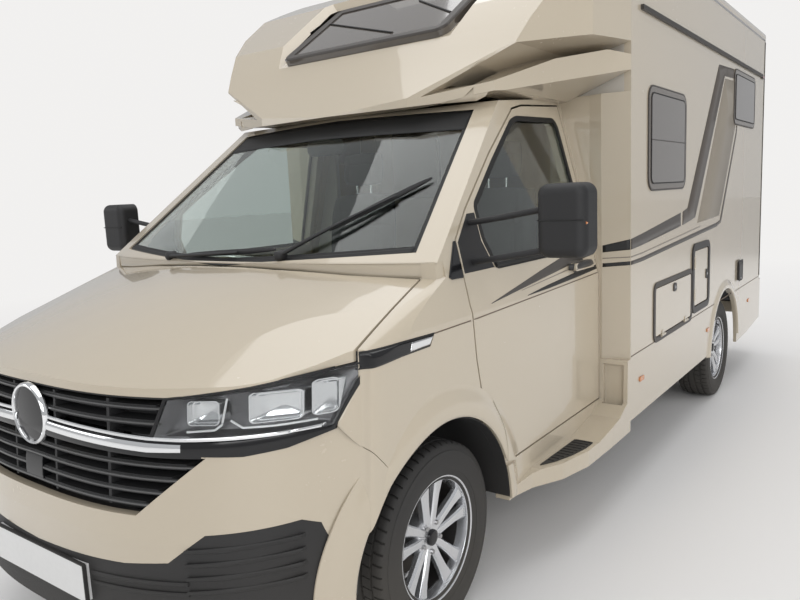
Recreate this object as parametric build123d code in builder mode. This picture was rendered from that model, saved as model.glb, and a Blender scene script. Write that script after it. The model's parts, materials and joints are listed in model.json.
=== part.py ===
from build123d import *
import math
import os

# Camper van: a forward-control van cab with a bonnet, and a panel-built living body behind it.
# Lengths are in millimetres. +Z is up, the front faces -Y and +X is the vehicle's left side.
# The origin lies on the ground under the middle of the whole vehicle.
# "Behind" is the distance of a place behind the front axle, and it is negative in front of it.

# Overall sizes
OVERALL_LENGTH = 5892
FRONT_OVERHANG = 920
PLATE_PROUD = 12
WHEELBASE = 3400
BODY_WIDTH = 2180
CAB_WIDTH = 1904
FRONT_AXLE_Y = FRONT_OVERHANG - OVERALL_LENGTH / 2
REAR_END = OVERALL_LENGTH - FRONT_OVERHANG
HALF_BODY = BODY_WIDTH / 2
HALF_CAB = CAB_WIDTH / 2

# Clearances
FIT = 0.4
SHUT_GAP = 8
RUNNING_GAP = 6

# Wheels: 215/65 R16 tyres on 6.5 inch rims
TYRE_RADIUS = 339
TYRE_WIDTH = 215
TYRE_SIDEWALL = 136
RIM_WIDTH = 188
RIM_WALL = 9
FRONT_TRACK = 1600
REAR_TRACK = 1902
HUB_RADIUS = 62
DISC_RADIUS = 150
STUD_CIRCLE = 120
STUD_HOLE = 7
STUDS = 5
KINGPIN_X = 720
ARCH_RADIUS = 440
ARCH_BEHIND = -33
REAR_ARCH_RADIUS = 425

# Panel thicknesses
BONNET_WALL = 22
NOSE_WALL = 26
DOOR_SKIN = 20
DOOR_WALL = 60
BODY_WALL = 32
GLASS = 6

# Heights
SILL_BOTTOM = 335
FRAME_BOTTOM = 500
CAB_FLOOR = 640
CAB_FLOOR_THICKNESS = 20
BODY_FLOOR_TOP = 702
NOSE_REFERENCE = 600
NOSE_BOTTOM = 300
WAIST = 1100
BELT = 1238
HOOD_BOTTOM = 1872
SIDE_TOP = 2600
ROOF_TOP = 2742
HATCH_TOP = 2850

# Nose plan: a rounded front between straight flanks
NOSE_FLANK = 100
NOSE_POWER = 2.6
NOSE_LEAN = 0.08

# Windscreen surface: a cylinder patch leaning back
SCREEN_BASE = 1290
SCREEN_FRONT = -116
SCREEN_RADIUS = 2918
SCREEN_LEAN = 1.32

# Lengthwise places
DOOR_FRONT = 172
DOOR_REAR = 1350
BODY_FRONT = 1399
SIDE_REAR = 4682
BODY_REAR = 4900
FIREWALL = 60

# Hinge axes
BONNET_AXIS = (-140, 1190)
DOOR_AXIS = (938, 150)
DOOR_HINGE_HEIGHTS = (930, 1082)
HINGE_PROUD = 8
BARREL_RADIUS = 7
BARREL_GAP = 0.3


def at(behind):
    """Y of a place that far behind the front axle."""
    return FRONT_AXLE_Y + behind


def side_prism(points, low_x, high_x, grow=0.0):
    """Solid between two X planes over a side outline of (behind, height) points."""
    with BuildPart() as prism:
        with BuildSketch(Plane.YZ.offset(low_x)):
            with BuildLine():
                Polyline(*[(at(behind), height) for behind, height in points], close=True)
            make_face()
            if grow:
                offset(amount=grow, kind=Kind.INTERSECTION)
        extrude(amount=high_x - low_x)
    return prism.part


def plan_prism(points, low_z, high_z, grow=0.0):
    """Solid between two heights over a plan outline of (x, behind) points."""
    with BuildPart() as prism:
        with BuildSketch(Plane.XY.offset(low_z)):
            with BuildLine():
                Polyline(*[(x, at(behind)) for x, behind in points], close=True)
            make_face()
            if grow:
                offset(amount=grow, kind=Kind.INTERSECTION)
        extrude(amount=high_z - low_z)
    return prism.part


def front_prism(points, front, rear, grow=0.0):
    """Solid between two lengthwise places over a front outline of (x, height) points."""
    with BuildPart() as prism:
        with BuildSketch(Plane.XZ.offset(-at(front))):
            with BuildLine():
                Polyline(*points, close=True)
            make_face()
            if grow:
                offset(amount=grow, kind=Kind.INTERSECTION)
        extrude(amount=front - rear)
    return prism.part


def block(x_span, behind_span, z_span):
    """Box between two values of x, two places behind the axle and two heights."""
    with BuildPart() as piece:
        with BuildSketch(Plane.XY.offset(z_span[0])):
            with Locations(((x_span[0] + x_span[1]) / 2, at((behind_span[0] + behind_span[1]) / 2))):
                Rectangle(x_span[1] - x_span[0], behind_span[1] - behind_span[0])
        extrude(amount=z_span[1] - z_span[0])
    return piece.part


def drum(x_span, behind, height, radius):
    """Round bar across the vehicle."""
    with BuildPart() as piece:
        with BuildSketch(Plane.YZ.offset(x_span[0])):
            with Locations((at(behind), height)):
                Circle(radius)
        extrude(amount=x_span[1] - x_span[0])
    return piece.part


def span(side, near, far):
    """Range of x on one side of the vehicle."""
    return (min(side * near, side * far), max(side * near, side * far))


def mirrored(points):
    """Closed outline from its right half's (x, value) points, which run from the middle outwards and back."""
    return points + [(-x, value) for x, value in reversed(points) if x > 0]


def nose_front(x, inset):
    """Place of the nose's plan outline at a distance x from the middle."""
    half = HALF_CAB - inset
    share = min(1.0, abs(x) / half)
    reach = FRONT_OVERHANG - PLATE_PROUD - inset - NOSE_FLANK
    return -NOSE_FLANK - reach * (1 - share**NOSE_POWER) ** (1 / NOSE_POWER)


# Half of the cab's front outline: (x, height) from the sill up, leaning in above the waist
CAB_HALF_OUTLINE = [(HALF_CAB, 260), (HALF_CAB, WAIST), (900, 1330), (765, 1850), (725, 2000)]


def cab_side(height):
    """Half width of the cab's outside at a height above the waist."""
    for (low_x, low), (high_x, high) in zip(CAB_HALF_OUTLINE, CAB_HALF_OUTLINE[1:]):
        if low <= height <= high:
            return low_x + (high_x - low_x) * (height - low) / (high - low)
    return HALF_CAB


def cab_section(front, rear, inset):
    """The cab's front outline, drawn inwards by the inset and carried along the vehicle."""
    points = [(0, 260)] + CAB_HALF_OUTLINE + [(0, 2000)]
    with BuildPart() as prism:
        with BuildSketch(Plane.XZ.offset(-at(front))):
            with BuildLine():
                Polyline(*mirrored([(max(0, x - inset), height) for x, height in points]), close=True)
            make_face()
        extrude(amount=front - rear)
    return prism.part


# Bonnet and wing crown: (behind, height in the middle, height at the flank)
CROWN_SECTIONS = [(-940, 1000, 898), (-418, 1200, 1072), (190, 1330, 1285)]
SHOULDER_RADIUS = 80
SHOULDER_SLOPE = 0.22
CROWN_FOOT = 200
CROWN_DROP = 500
PLAN_SHARES = [0.0, 0.35, 0.65, 0.85, 0.96]


def nose_block(inset):
    """The van's nose as a closed shape, each face drawn in by the inset."""
    half = HALF_CAB - inset
    right_front = [(share * half, at(nose_front(share * half, inset))) for share in PLAN_SHARES]
    left_front = [(-x, y) for x, y in reversed(right_front[1:])]
    with BuildPart() as plan:
        with BuildSketch(Plane.XY.offset(NOSE_REFERENCE)) as outline:
            with BuildLine():
                Spline(
                    (-half, at(-NOSE_FLANK)),
                    *left_front,
                    *right_front,
                    (half, at(-NOSE_FLANK)),
                    tangents=[(0, -1), (0, 1)],
                )
                Polyline(
                    (half, at(-NOSE_FLANK)),
                    (half, at(DOOR_FRONT - SHUT_GAP)),
                    (-half, at(DOOR_FRONT - SHUT_GAP)),
                    (-half, at(-NOSE_FLANK)),
                )
            make_face()
        rise = 900
        extrude(amount=rise * math.hypot(1, NOSE_LEAN), dir=(0, NOSE_LEAN, 1))
        extrude(outline.sketch, amount=-(NOSE_REFERENCE - NOSE_BOTTOM + 1))
    with BuildPart() as crown:
        for behind, middle, flank in CROWN_SECTIONS:
            with BuildSketch(Plane.XZ.offset(-at(behind))):
                with BuildLine():
                    ThreePointArc(
                        (-HALF_CAB - 20, flank - inset), (0, middle - inset),
                        (HALF_CAB + 20, flank - inset),
                    )
                    Polyline(
                        (-HALF_CAB - 20, flank - inset),
                        (-HALF_CAB - 20, CROWN_FOOT),
                        (HALF_CAB + 20, CROWN_FOOT),
                        (HALF_CAB + 20, flank - inset),
                    )
                make_face()
        loft()
    flanks = cab_section(-1000, 300, inset)
    first, last = CROWN_SECTIONS[0], CROWN_SECTIONS[-1]
    climb = (last[2] - first[2]) / (last[0] - first[0])
    flank = first[2] - inset
    with BuildPart() as shoulders:
        with BuildSketch(Plane.XZ.offset(-at(first[0]))):
            with BuildLine():
                Polyline(
                    (-half, CROWN_FOOT - CROWN_DROP),
                    (-half, flank),
                    (0, flank + SHOULDER_SLOPE * half),
                    (half, flank),
                    (half, CROWN_FOOT - CROWN_DROP),
                    close=True,
                )
            make_face()
            fillet(
                vertices().filter_by(lambda corner: abs(corner.Y - flank) < 1),
                max(6, SHOULDER_RADIUS - inset),
            )
        reach = last[0] - first[0]
        extrude(amount=reach * math.hypot(1, climb), dir=(0, 1, climb))
    with BuildPart() as nose:
        add(plan.part)
        add(crown.part, mode=Mode.INTERSECT)
        add(shoulders.part, mode=Mode.INTERSECT)
        add(flanks, mode=Mode.INTERSECT)
    return nose.part


# The cab's top line: (behind, height), from the screen's header back to the body
CAB_TOP_FRONT = (690, HOOD_BOTTOM)
CAB_TOP_REAR = (BODY_FRONT, 1935)


def cabin_block(inset):
    """The cab behind the nose as a closed shape, each face drawn in by the inset."""
    reach = HALF_CAB + 20
    shift = inset * math.hypot(1, SCREEN_LEAN)
    sag = reach**2 / (2 * SCREEN_RADIUS)
    rise = 700
    with BuildPart() as screen:
        with BuildSketch(Plane.XY.offset(SCREEN_BASE)):
            with BuildLine():
                ThreePointArc(
                    (-reach, at(SCREEN_FRONT + sag + shift)),
                    (0, at(SCREEN_FRONT + shift)),
                    (reach, at(SCREEN_FRONT + sag + shift)),
                )
                Polyline(
                    (reach, at(SCREEN_FRONT + sag + shift)),
                    (reach, at(2 * BODY_FRONT)),
                    (-reach, at(2 * BODY_FRONT)),
                    (-reach, at(SCREEN_FRONT + sag + shift)),
                )
            make_face()
        extrude(amount=rise * math.hypot(1, SCREEN_LEAN), dir=(0, SCREEN_LEAN, 1))
        add(block((-reach, reach), (FIREWALL + inset, 2 * BODY_FRONT), (200, SCREEN_BASE)))
    top = side_prism(
        [
            (-300, 200),
            (-300, CAB_TOP_FRONT[1] - inset),
            (CAB_TOP_FRONT[0], CAB_TOP_FRONT[1] - inset),
            (CAB_TOP_REAR[0], CAB_TOP_REAR[1] - inset),
            (CAB_TOP_REAR[0], 200),
        ],
        -reach,
        reach,
    )
    flanks = cab_section(-400, BODY_FRONT, inset)
    with BuildPart() as cabin:
        add(screen.part)
        add(top, mode=Mode.INTERSECT)
        add(flanks, mode=Mode.INTERSECT)
    return cabin.part


nose_outer = nose_block(0)
nose_bonnet_inner = nose_block(BONNET_WALL)
nose_inner = nose_block(NOSE_WALL)
cabin_outer = cabin_block(0)
cabin_glass_outer = cabin_block(8)
cabin_glass_inner = cabin_block(8 + GLASS)
cabin_skin = cabin_block(DOOR_SKIN)
cabin_inner = cabin_block(DOOR_WALL)

# Seam outlines in side view: (behind, height)
DOOR_OUTLINE = [
    (DOOR_FRONT, 1352),
    (285, 1452),
    (560, 1652),
    (863, 1848),
    (960, 1868),
    (DOOR_REAR, 1893),
    (DOOR_REAR, 498),
    (470, 498),
    (418, 530),
    (300, 690),
    (228, 790),
    (194, 940),
    (DOOR_FRONT, 1130),
]
DOOR_WINDOW = [
    (408, BELT),
    (354, 1342),
    (354, 1466),
    (575, 1628),
    (822, 1796),
    (880, 1814),
    (1262, 1826),
    (1290, 1800),
    (1308, BELT),
]
MIRROR_PANEL = [(180, BELT), (180, 1345), (285, 1438), (340, 1440), (340, 1338), (392, BELT)]
SCREEN_OUTLINE = mirrored([(0, 1283), (818, 1322), (679, 1845), (0, 1860)])

# Bonnet seams: (x, behind) in plan and (x, height) from the front
BONNET_PLAN = mirrored(
    [
        (0, -FRONT_OVERHANG), (620, -FRONT_OVERHANG), (906, -430), (852, 2), (600, -70), (300, -118),
        (0, -132),
    ],
)
LAMP_TOP = [(0, 1004), (560, 1002), (753, 1028), (905, 1056), (960, 1066)]
BONNET_FRONT = mirrored(LAMP_TOP + [(960, 1500), (0, 1500)])
NOSE_SEAM = [(-430, 1110), (-424, 820), (-330, 715), (-330, 200)]

with BuildPart() as bonnet:
    add(nose_outer)
    add(nose_bonnet_inner, mode=Mode.SUBTRACT)
    add(plan_prism(BONNET_PLAN, 900, 1500), mode=Mode.INTERSECT)
    add(front_prism(BONNET_FRONT, -1000, 100), mode=Mode.INTERSECT)

# Bonnet hinges: leaves under the bonnet turn on pins that brackets on the firewall carry
BONNET_HINGE_X = 500
BRACKET_WIDTH = 12
LEAF_WIDTH = 10
PIN_RADIUS = 6
LEAF_OUTLINE = [(-156, 1178), (-124, 1178), (-100, 1230), (-180, 1210)]
BRACKET_OUTLINE = [
    (-152, 1115), (-152, 1200), (-130, 1200), (-126, 1150), (FIREWALL + 1, 1150), (FIREWALL + 1, 1115),
]
with BuildPart() as bonnet_leaves:
    for side in (-1, 1):
        leaf_near = BONNET_HINGE_X + BRACKET_WIDTH + 2
        add(side_prism(LEAF_OUTLINE, *span(side, leaf_near, leaf_near + LEAF_WIDTH)))
    add(drum((-HALF_CAB, HALF_CAB), *BONNET_AXIS, PIN_RADIUS + BARREL_GAP), mode=Mode.SUBTRACT)
bonnet.part = bonnet.part + bonnet_leaves.part

bonnet_opening = plan_prism(BONNET_PLAN, 700, 1500, grow=SHUT_GAP)
wheel_arches = drum((-1200, 1200), ARCH_BEHIND, TYRE_RADIUS, ARCH_RADIUS)
wing_zone = side_prism(
    NOSE_SEAM + [(DOOR_FRONT - SHUT_GAP + 100, 200), (DOOR_FRONT - SHUT_GAP + 100, 1500), (-430, 1500)],
    -HALF_CAB - 10,
    HALF_CAB + 10,
    grow=-2,
)

with BuildPart() as front_wings:
    add(nose_outer)
    add(nose_inner, mode=Mode.SUBTRACT)
    add(wing_zone, mode=Mode.INTERSECT)
    add(bonnet_opening, mode=Mode.SUBTRACT)
    add(wheel_arches, mode=Mode.SUBTRACT)
    add(block((-850, 850), (-1000, 400), (200, 1500)), mode=Mode.SUBTRACT)
    add(block((-1000, 1000), (-1000, 400), (200, SILL_BOTTOM + 250)), mode=Mode.SUBTRACT)
    add(block((-1000, 1000), (-200, 400), (SCREEN_BASE, 1500)), mode=Mode.SUBTRACT)
    add(block((-1000, 1000), (DOOR_FRONT - SHUT_GAP, 400), (200, 1500)), mode=Mode.SUBTRACT)
    for side in (-1, 1):
        add(side_prism(DOOR_OUTLINE, *span(side, 600, 1000), grow=SHUT_GAP), mode=Mode.SUBTRACT)

# Door hinges: pins in pockets of the front pillar, and goosenecks that reach round its edge into the door
POCKET_HALF = 26
POCKET_SKIN = 5
NECK_HALF = 22
DOOR_PIN_RADIUS = 4
NECK_RADIUS = 8
NECK_OUTLINE = [
    (936, 144), (888, 167), (888, 214), (902, 262), (914, 262), (900, 206), (900, 176), (940, 157),
]
door_pockets = []
for height in DOOR_HINGE_HEIGHTS:
    for side in (-1, 1):
        pocket_x = span(side, HALF_CAB - 77, HALF_CAB - POCKET_SKIN)
        door_pockets.append(block(pocket_x, (138, 212), (height - POCKET_HALF, height + POCKET_HALF)))


def upright_bar(x, behind, z_span, radius):
    """Round bar standing upright."""
    with BuildPart() as bar:
        with BuildSketch(Plane.XY.offset(z_span[0])):
            with Locations((x, at(behind))):
                Circle(radius)
        extrude(amount=z_span[1] - z_span[0])
    return bar.part


with BuildPart() as door_pins:
    for side in (-1, 1):
        for height in DOOR_HINGE_HEIGHTS:
            pin_span = (height - POCKET_HALF - 2, height + POCKET_HALF + 2)
            add(upright_bar(side * DOOR_AXIS[0], DOOR_AXIS[1], pin_span, DOOR_PIN_RADIUS))
with BuildPart() as door_necks:
    for height in DOOR_HINGE_HEIGHTS:
        neck_span = (height - NECK_HALF, height + NECK_HALF)
        add(plan_prism(NECK_OUTLINE, *neck_span))
        add(upright_bar(*DOOR_AXIS, neck_span, NECK_RADIUS))
    for height in DOOR_HINGE_HEIGHTS:
        add(
            upright_bar(*DOOR_AXIS, (height - 30, height + 30), DOOR_PIN_RADIUS + BARREL_GAP),
            mode=Mode.SUBTRACT,
        )
for pocket in door_pockets:
    front_wings.part = front_wings.part - pocket
front_wings.part = front_wings.part + door_pins.part

# Front openings: (x, height) half outlines
UPPER_GRILLE = mirrored([(0, 878), (538, 862), (548, 996), (0, 998)])
LOWER_GRILLE = mirrored([(0, 668), (455, 668), (655, 838), (0, 852)])
LAMP_OUTLINE = [(552, 996), (506, 884), (721, 889), (870, 889), (930, 1050), (905, 1050), (753, 1022)]
TRIM_OUTLINE = mirrored(
    [
        (0, 508), (406, 523), (546, 540), (650, 625), (835, 641), (861, 619), (892, 457),
        (890, NOSE_BOTTOM - 1), (0, NOSE_BOTTOM - 1),
    ]
)
LAMP_DEPTH = 90


def both_sides(points):
    """An outline and its mirror image across the middle plane."""
    return [points, [(-x, height) for x, height in points]]


bumper_zone = side_prism(
    [(-1000, NOSE_BOTTOM), (-1000, 1010), (-424, 1010), (-424, 820), (-330, 715), (-330, NOSE_BOTTOM)],
    -HALF_CAB - 10,
    HALF_CAB + 10,
)

with BuildPart() as front_bumper:
    add(nose_outer)
    add(nose_inner, mode=Mode.SUBTRACT)
    add(bumper_zone, mode=Mode.INTERSECT)
    add(front_prism(UPPER_GRILLE, -1000, 0), mode=Mode.SUBTRACT)
    add(front_prism(LOWER_GRILLE, -1000, 0), mode=Mode.SUBTRACT)
    for outline in both_sides(LAMP_OUTLINE):
        add(front_prism(outline, -1000, -200), mode=Mode.SUBTRACT)
    add(front_prism(TRIM_OUTLINE, -1000, -200), mode=Mode.SUBTRACT)
    add(block((-1000, 1000), (-1000, 0), (880, 1100)), mode=Mode.SUBTRACT)
    add(wheel_arches, mode=Mode.SUBTRACT)

with BuildPart() as bumper_trim:
    add(nose_outer)
    add(nose_inner, mode=Mode.SUBTRACT)
    add(front_prism(TRIM_OUTLINE, -1000, -200, grow=-FIT), mode=Mode.INTERSECT)
    add(wheel_arches, mode=Mode.SUBTRACT)

nose_lamp_rear = nose_block(LAMP_DEPTH)
with BuildPart() as headlamps:
    for outline in both_sides(LAMP_OUTLINE):
        add(front_prism(outline, -1000, -424, grow=-3))
    add(nose_outer, mode=Mode.INTERSECT)
    add(nose_lamp_rear, mode=Mode.SUBTRACT)
    add(bonnet.part, mode=Mode.SUBTRACT)
    add(front_bumper.part, mode=Mode.SUBTRACT)
    add(front_wings.part, mode=Mode.SUBTRACT)

# Grille bars: (height in the middle, drop at the outer end, half length)
GRILLE_BARS = [
    (975, 4, 520),
    (935, 6, 520),
    (896, 8, 515),
    (866, 10, 650),
    (820, 10, 600),
    (782, 9, 560),
    (744, 8, 520),
    (706, 6, 480),
]
BAR_HEIGHT = 16
BAR_DEPTH = 50
nose_bar_front = nose_block(8)
nose_bar_rear = nose_block(8 + BAR_DEPTH)
with BuildPart() as bar_fan:
    for height, drop, half in GRILLE_BARS:
        with BuildSketch(Plane.XZ.offset(-at(-1000))):
            with BuildLine():
                Polyline(
                    *mirrored(
                        [
                            (0, height + BAR_HEIGHT / 2),
                            (half, height + BAR_HEIGHT / 2 - drop),
                            (half, height - BAR_HEIGHT / 2 - drop),
                            (0, height - BAR_HEIGHT / 2),
                        ]
                    ),
                    close=True,
                )
            make_face()
        extrude(amount=-600)
    for x in (-360, -120, 120, 360):
        add(block((x - 5, x + 5), (-1000, -400), (690, 990)))
with BuildPart() as grille:
    add(nose_bar_front)
    add(nose_bar_rear, mode=Mode.SUBTRACT)
    add(bar_fan.part, mode=Mode.INTERSECT)
    add(front_bumper.part, mode=Mode.SUBTRACT)
    add(headlamps.part, mode=Mode.SUBTRACT)
with BuildPart() as grille_backing:
    add(nose_bar_rear)
    add(nose_block(14 + BAR_DEPTH), mode=Mode.SUBTRACT)
    add(
        front_prism(
            mirrored([(0, 660), (455, 660), (655, 838), (640, 870), (548, 996), (0, 998)]), -1000, 0
        ),
        mode=Mode.INTERSECT,
    )
    add(headlamps.part, mode=Mode.SUBTRACT)
grille.part = grille.part + grille_backing.part

# Cab shell: pillars, sills, header and firewall around the doors, the screen and the open roof
screen_cut = front_prism(SCREEN_OUTLINE, -300, 900)
ROOF_OPENING = (-620, 620)
with BuildPart() as cab_body:
    add(cabin_outer)
    add(cabin_inner, mode=Mode.SUBTRACT)
    add(screen_cut, mode=Mode.SUBTRACT)
    for side in (-1, 1):
        low_x = min(side * 600, side * 1000)
        add(side_prism(DOOR_OUTLINE, low_x, low_x + 400, grow=SHUT_GAP), mode=Mode.SUBTRACT)
    add(block(ROOF_OPENING, (780, BODY_FRONT + 1), (1700, 2000)), mode=Mode.SUBTRACT)
    add(block((-1000, 1000), (-400, 1500), (100, SILL_BOTTOM)), mode=Mode.SUBTRACT)
    add(block((-480, 480), (0, 130), (SILL_BOTTOM - 1, FRAME_BOTTOM + 160)), mode=Mode.SUBTRACT)
    for low_x in (-1000, 480):
        add(drum((low_x, low_x + 520), ARCH_BEHIND, TYRE_RADIUS, ARCH_RADIUS), mode=Mode.SUBTRACT)
    add(front_wings.part, mode=Mode.SUBTRACT)
    for pocket in door_pockets:
        add(pocket, mode=Mode.SUBTRACT)
    for side in (-1, 1):
        add(side_prism(BRACKET_OUTLINE, *span(side, BONNET_HINGE_X, BONNET_HINGE_X + BRACKET_WIDTH)))
        add(drum(span(side, BONNET_HINGE_X, leaf_near + LEAF_WIDTH + 4), *BONNET_AXIS, PIN_RADIUS))

with BuildPart() as windshield:
    add(cabin_glass_outer)
    add(cabin_glass_inner, mode=Mode.SUBTRACT)
    add(front_prism(SCREEN_OUTLINE, -300, 900, grow=-FIT), mode=Mode.INTERSECT)
    add(block((-1000, 1000), (-300, 900), (SCREEN_BASE, 2000)), mode=Mode.INTERSECT)

# Wipers lie on the screen: (pivot x, pivot height, tip x, tip height)
WIPERS = [(300, 1316, 690, 1560), (-330, 1310, 250, 1330)]
WIPER_WIDTH = 26
wiper_layer_outer = cabin_block(-16)
with BuildPart() as wipers:
    for pivot_x, pivot_height, tip_x, tip_height in WIPERS:
        run = math.hypot(tip_x - pivot_x, tip_height - pivot_height)
        side_x = -(tip_height - pivot_height) / run * WIPER_WIDTH / 2
        side_z = (tip_x - pivot_x) / run * WIPER_WIDTH / 2
        add(
            front_prism(
                [
                    (pivot_x + side_x, pivot_height + side_z),
                    (tip_x + side_x, tip_height + side_z),
                    (tip_x - side_x, tip_height - side_z),
                    (pivot_x - side_x, pivot_height - side_z),
                ],
                -300,
                900,
            )
        )
    add(wiper_layer_outer, mode=Mode.INTERSECT)
    add(cabin_glass_outer, mode=Mode.SUBTRACT)
    add(cab_body.part, mode=Mode.SUBTRACT)

# Cab door: an outer skin over a smaller inner frame, so that its rear edge swings clear of the pillar
DOOR_STEP = 14
door_window = side_prism(DOOR_WINDOW, 600, 1000)
mirror_panel_cut = side_prism(MIRROR_PANEL, 600, 1000, grow=FIT)
with BuildPart() as door_frame:
    add(cabin_skin)
    add(cabin_inner, mode=Mode.SUBTRACT)
    add(side_prism(DOOR_OUTLINE, 600, 1000, grow=-DOOR_STEP), mode=Mode.INTERSECT)
with BuildPart() as cab_door_left:
    add(cabin_outer)
    add(cabin_skin, mode=Mode.SUBTRACT)
    add(side_prism(DOOR_OUTLINE, 600, 1000), mode=Mode.INTERSECT)
    add(door_frame.part)
    add(door_window, mode=Mode.SUBTRACT)
    add(mirror_panel_cut, mode=Mode.SUBTRACT)
HANDLE = (1030, 1250)
HANDLE_HEIGHT = 1167
with BuildPart() as door_handle:
    with BuildSketch(Plane.YZ.offset(930)):
        with Locations((at(sum(HANDLE) / 2), HANDLE_HEIGHT)):
            SlotOverall(HANDLE[1] - HANDLE[0], 34)
    extrude(amount=42)
cab_door_left.part = cab_door_left.part + door_handle.part + door_necks.part

with BuildPart() as door_glass_left:
    add(cabin_glass_outer)
    add(cabin_glass_inner, mode=Mode.SUBTRACT)
    add(side_prism(DOOR_WINDOW, 600, 1000, grow=-FIT), mode=Mode.INTERSECT)
    add(mirror_panel_cut, mode=Mode.SUBTRACT)

# Mirror: a panel in the door's front corner, two arms and a tall head
MIRROR_HEAD_X = (1160, 1330)
MIRROR_HEAD_BEHIND = (232, 338)
MIRROR_HEAD_Z = (1288, 1530)
MIRROR_ARMS = [(250, 1268), (285, 1405)]
ARM_RADIUS = 11
with BuildPart() as mirror_left:
    add(cabin_outer)
    add(cabin_skin, mode=Mode.SUBTRACT)
    add(side_prism(MIRROR_PANEL, 600, 1000), mode=Mode.INTERSECT)
for behind, height in MIRROR_ARMS:
    root = (cab_side(height) - 10, at(behind), height)
    bend = (1000, at(behind), height + 16)
    end = (MIRROR_HEAD_X[0] + 30, at(285), height + 46)
    with BuildPart() as arm:
        with BuildLine() as arm_line:
            FilletPolyline(root, bend, end, radius=60)
        with BuildSketch(Plane(origin=root, z_dir=arm_line.line % 0)):
            Circle(ARM_RADIUS)
        sweep()
    mirror_left.part = mirror_left.part + arm.part
with BuildPart() as mirror_head:
    add(block(MIRROR_HEAD_X, MIRROR_HEAD_BEHIND, MIRROR_HEAD_Z))
    fillet(mirror_head.edges().filter_by(Axis.Y), 38)
    fillet(mirror_head.faces().sort_by(Axis.Y)[0].edges(), 34)
mirror_left.part = mirror_left.part + mirror_head.part

# Overcab hood: a visor wing along each side under a tapered brow
WING_FRONT_OUTLINE = mirrored(
    [
        (0, 2110), (1000, 2110), (HALF_BODY, 2092), (HALF_BODY, 2025), (790, HOOD_BOTTOM + 42),
        (700, HOOD_BOTTOM + 30), (560, HOOD_BOTTOM + 6), (431, HOOD_BOTTOM), (0, HOOD_BOTTOM),
    ]
)
WING_SIDE = [
    (545, HOOD_BOTTOM), (575, 1900), (706, 1950), (996, 2050), (1265, 2103), (BODY_FRONT, 2103),
    (BODY_FRONT, HOOD_BOTTOM),
]
WING_PLAN = mirrored(
    [
        (0, 545), (431, 575), (768, 706), (903, 996), (1028, 1265), (1082, 1375), (HALF_BODY, BODY_FRONT),
        (0, BODY_FRONT),
    ]
)
BROW_FRONT_OUTLINE = mirrored(
    [
        (0, 2760), (1000, 2705), (1060, 2675), (HALF_BODY, SIDE_TOP), (HALF_BODY, 2150), (850, 2090),
        (431, HOOD_BOTTOM + 10), (0, HOOD_BOTTOM),
    ]
)
BROW_SIDE = [
    (545, HOOD_BOTTOM),
    (583, 1918),
    (746, 2098),
    (806, 2190),
    (900, 2310),
    (1262, 2569),
    (BODY_FRONT, 2628),
    (BODY_FRONT, HOOD_BOTTOM),
]
BROW_PLAN = mirrored(
    [(0, 545), (431, 575), (850, 746), (1040, 1070), (HALF_BODY, BODY_FRONT), (0, BODY_FRONT)]
)
SKYLIGHT_HALF = 490
SKYLIGHT_PLANE = [(800, 2176), (1300, 2513)]
HOOD_ROOM = [
    (650, HOOD_BOTTOM - 1), (700, 1985), (800, 2080), (870, 2190), (940, 2290), (1262, 2525),
    (BODY_FRONT + 1, 2588), (BODY_FRONT + 1, HOOD_BOTTOM - 1),
]
# The hollow is wider near the living body, where the hood's sides leave walls of 60 and more
HOOD_SIDE_HALF = 960
HOOD_SIDE_ROOM = [
    (1080, 2400), (1262, 2515), (BODY_FRONT + 1, 2578), (BODY_FRONT + 1, 2180), (1080, 2180),
]
hood_wing = front_prism(WING_FRONT_OUTLINE, 500, BODY_FRONT)
hood_brow = front_prism(BROW_FRONT_OUTLINE, 500, BODY_FRONT)
SKY_RUN = SKYLIGHT_PLANE[1][0] - SKYLIGHT_PLANE[0][0]
SKY_RISE = SKYLIGHT_PLANE[1][1] - SKYLIGHT_PLANE[0][1]
WELL_EDGE = 20
WELL_DEPTH = 150
WELL_SPREAD = 48
SKY_SLOPE = math.hypot(SKY_RUN, SKY_RISE)
sky_plane = Plane(
    origin=(
        0,
        at((SKYLIGHT_PLANE[0][0] + SKYLIGHT_PLANE[1][0]) / 2),
        (SKYLIGHT_PLANE[0][1] + SKYLIGHT_PLANE[1][1]) / 2,
    ),
    x_dir=(1, 0, 0),
    z_dir=(0, -SKY_RISE, SKY_RUN),
)
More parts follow.
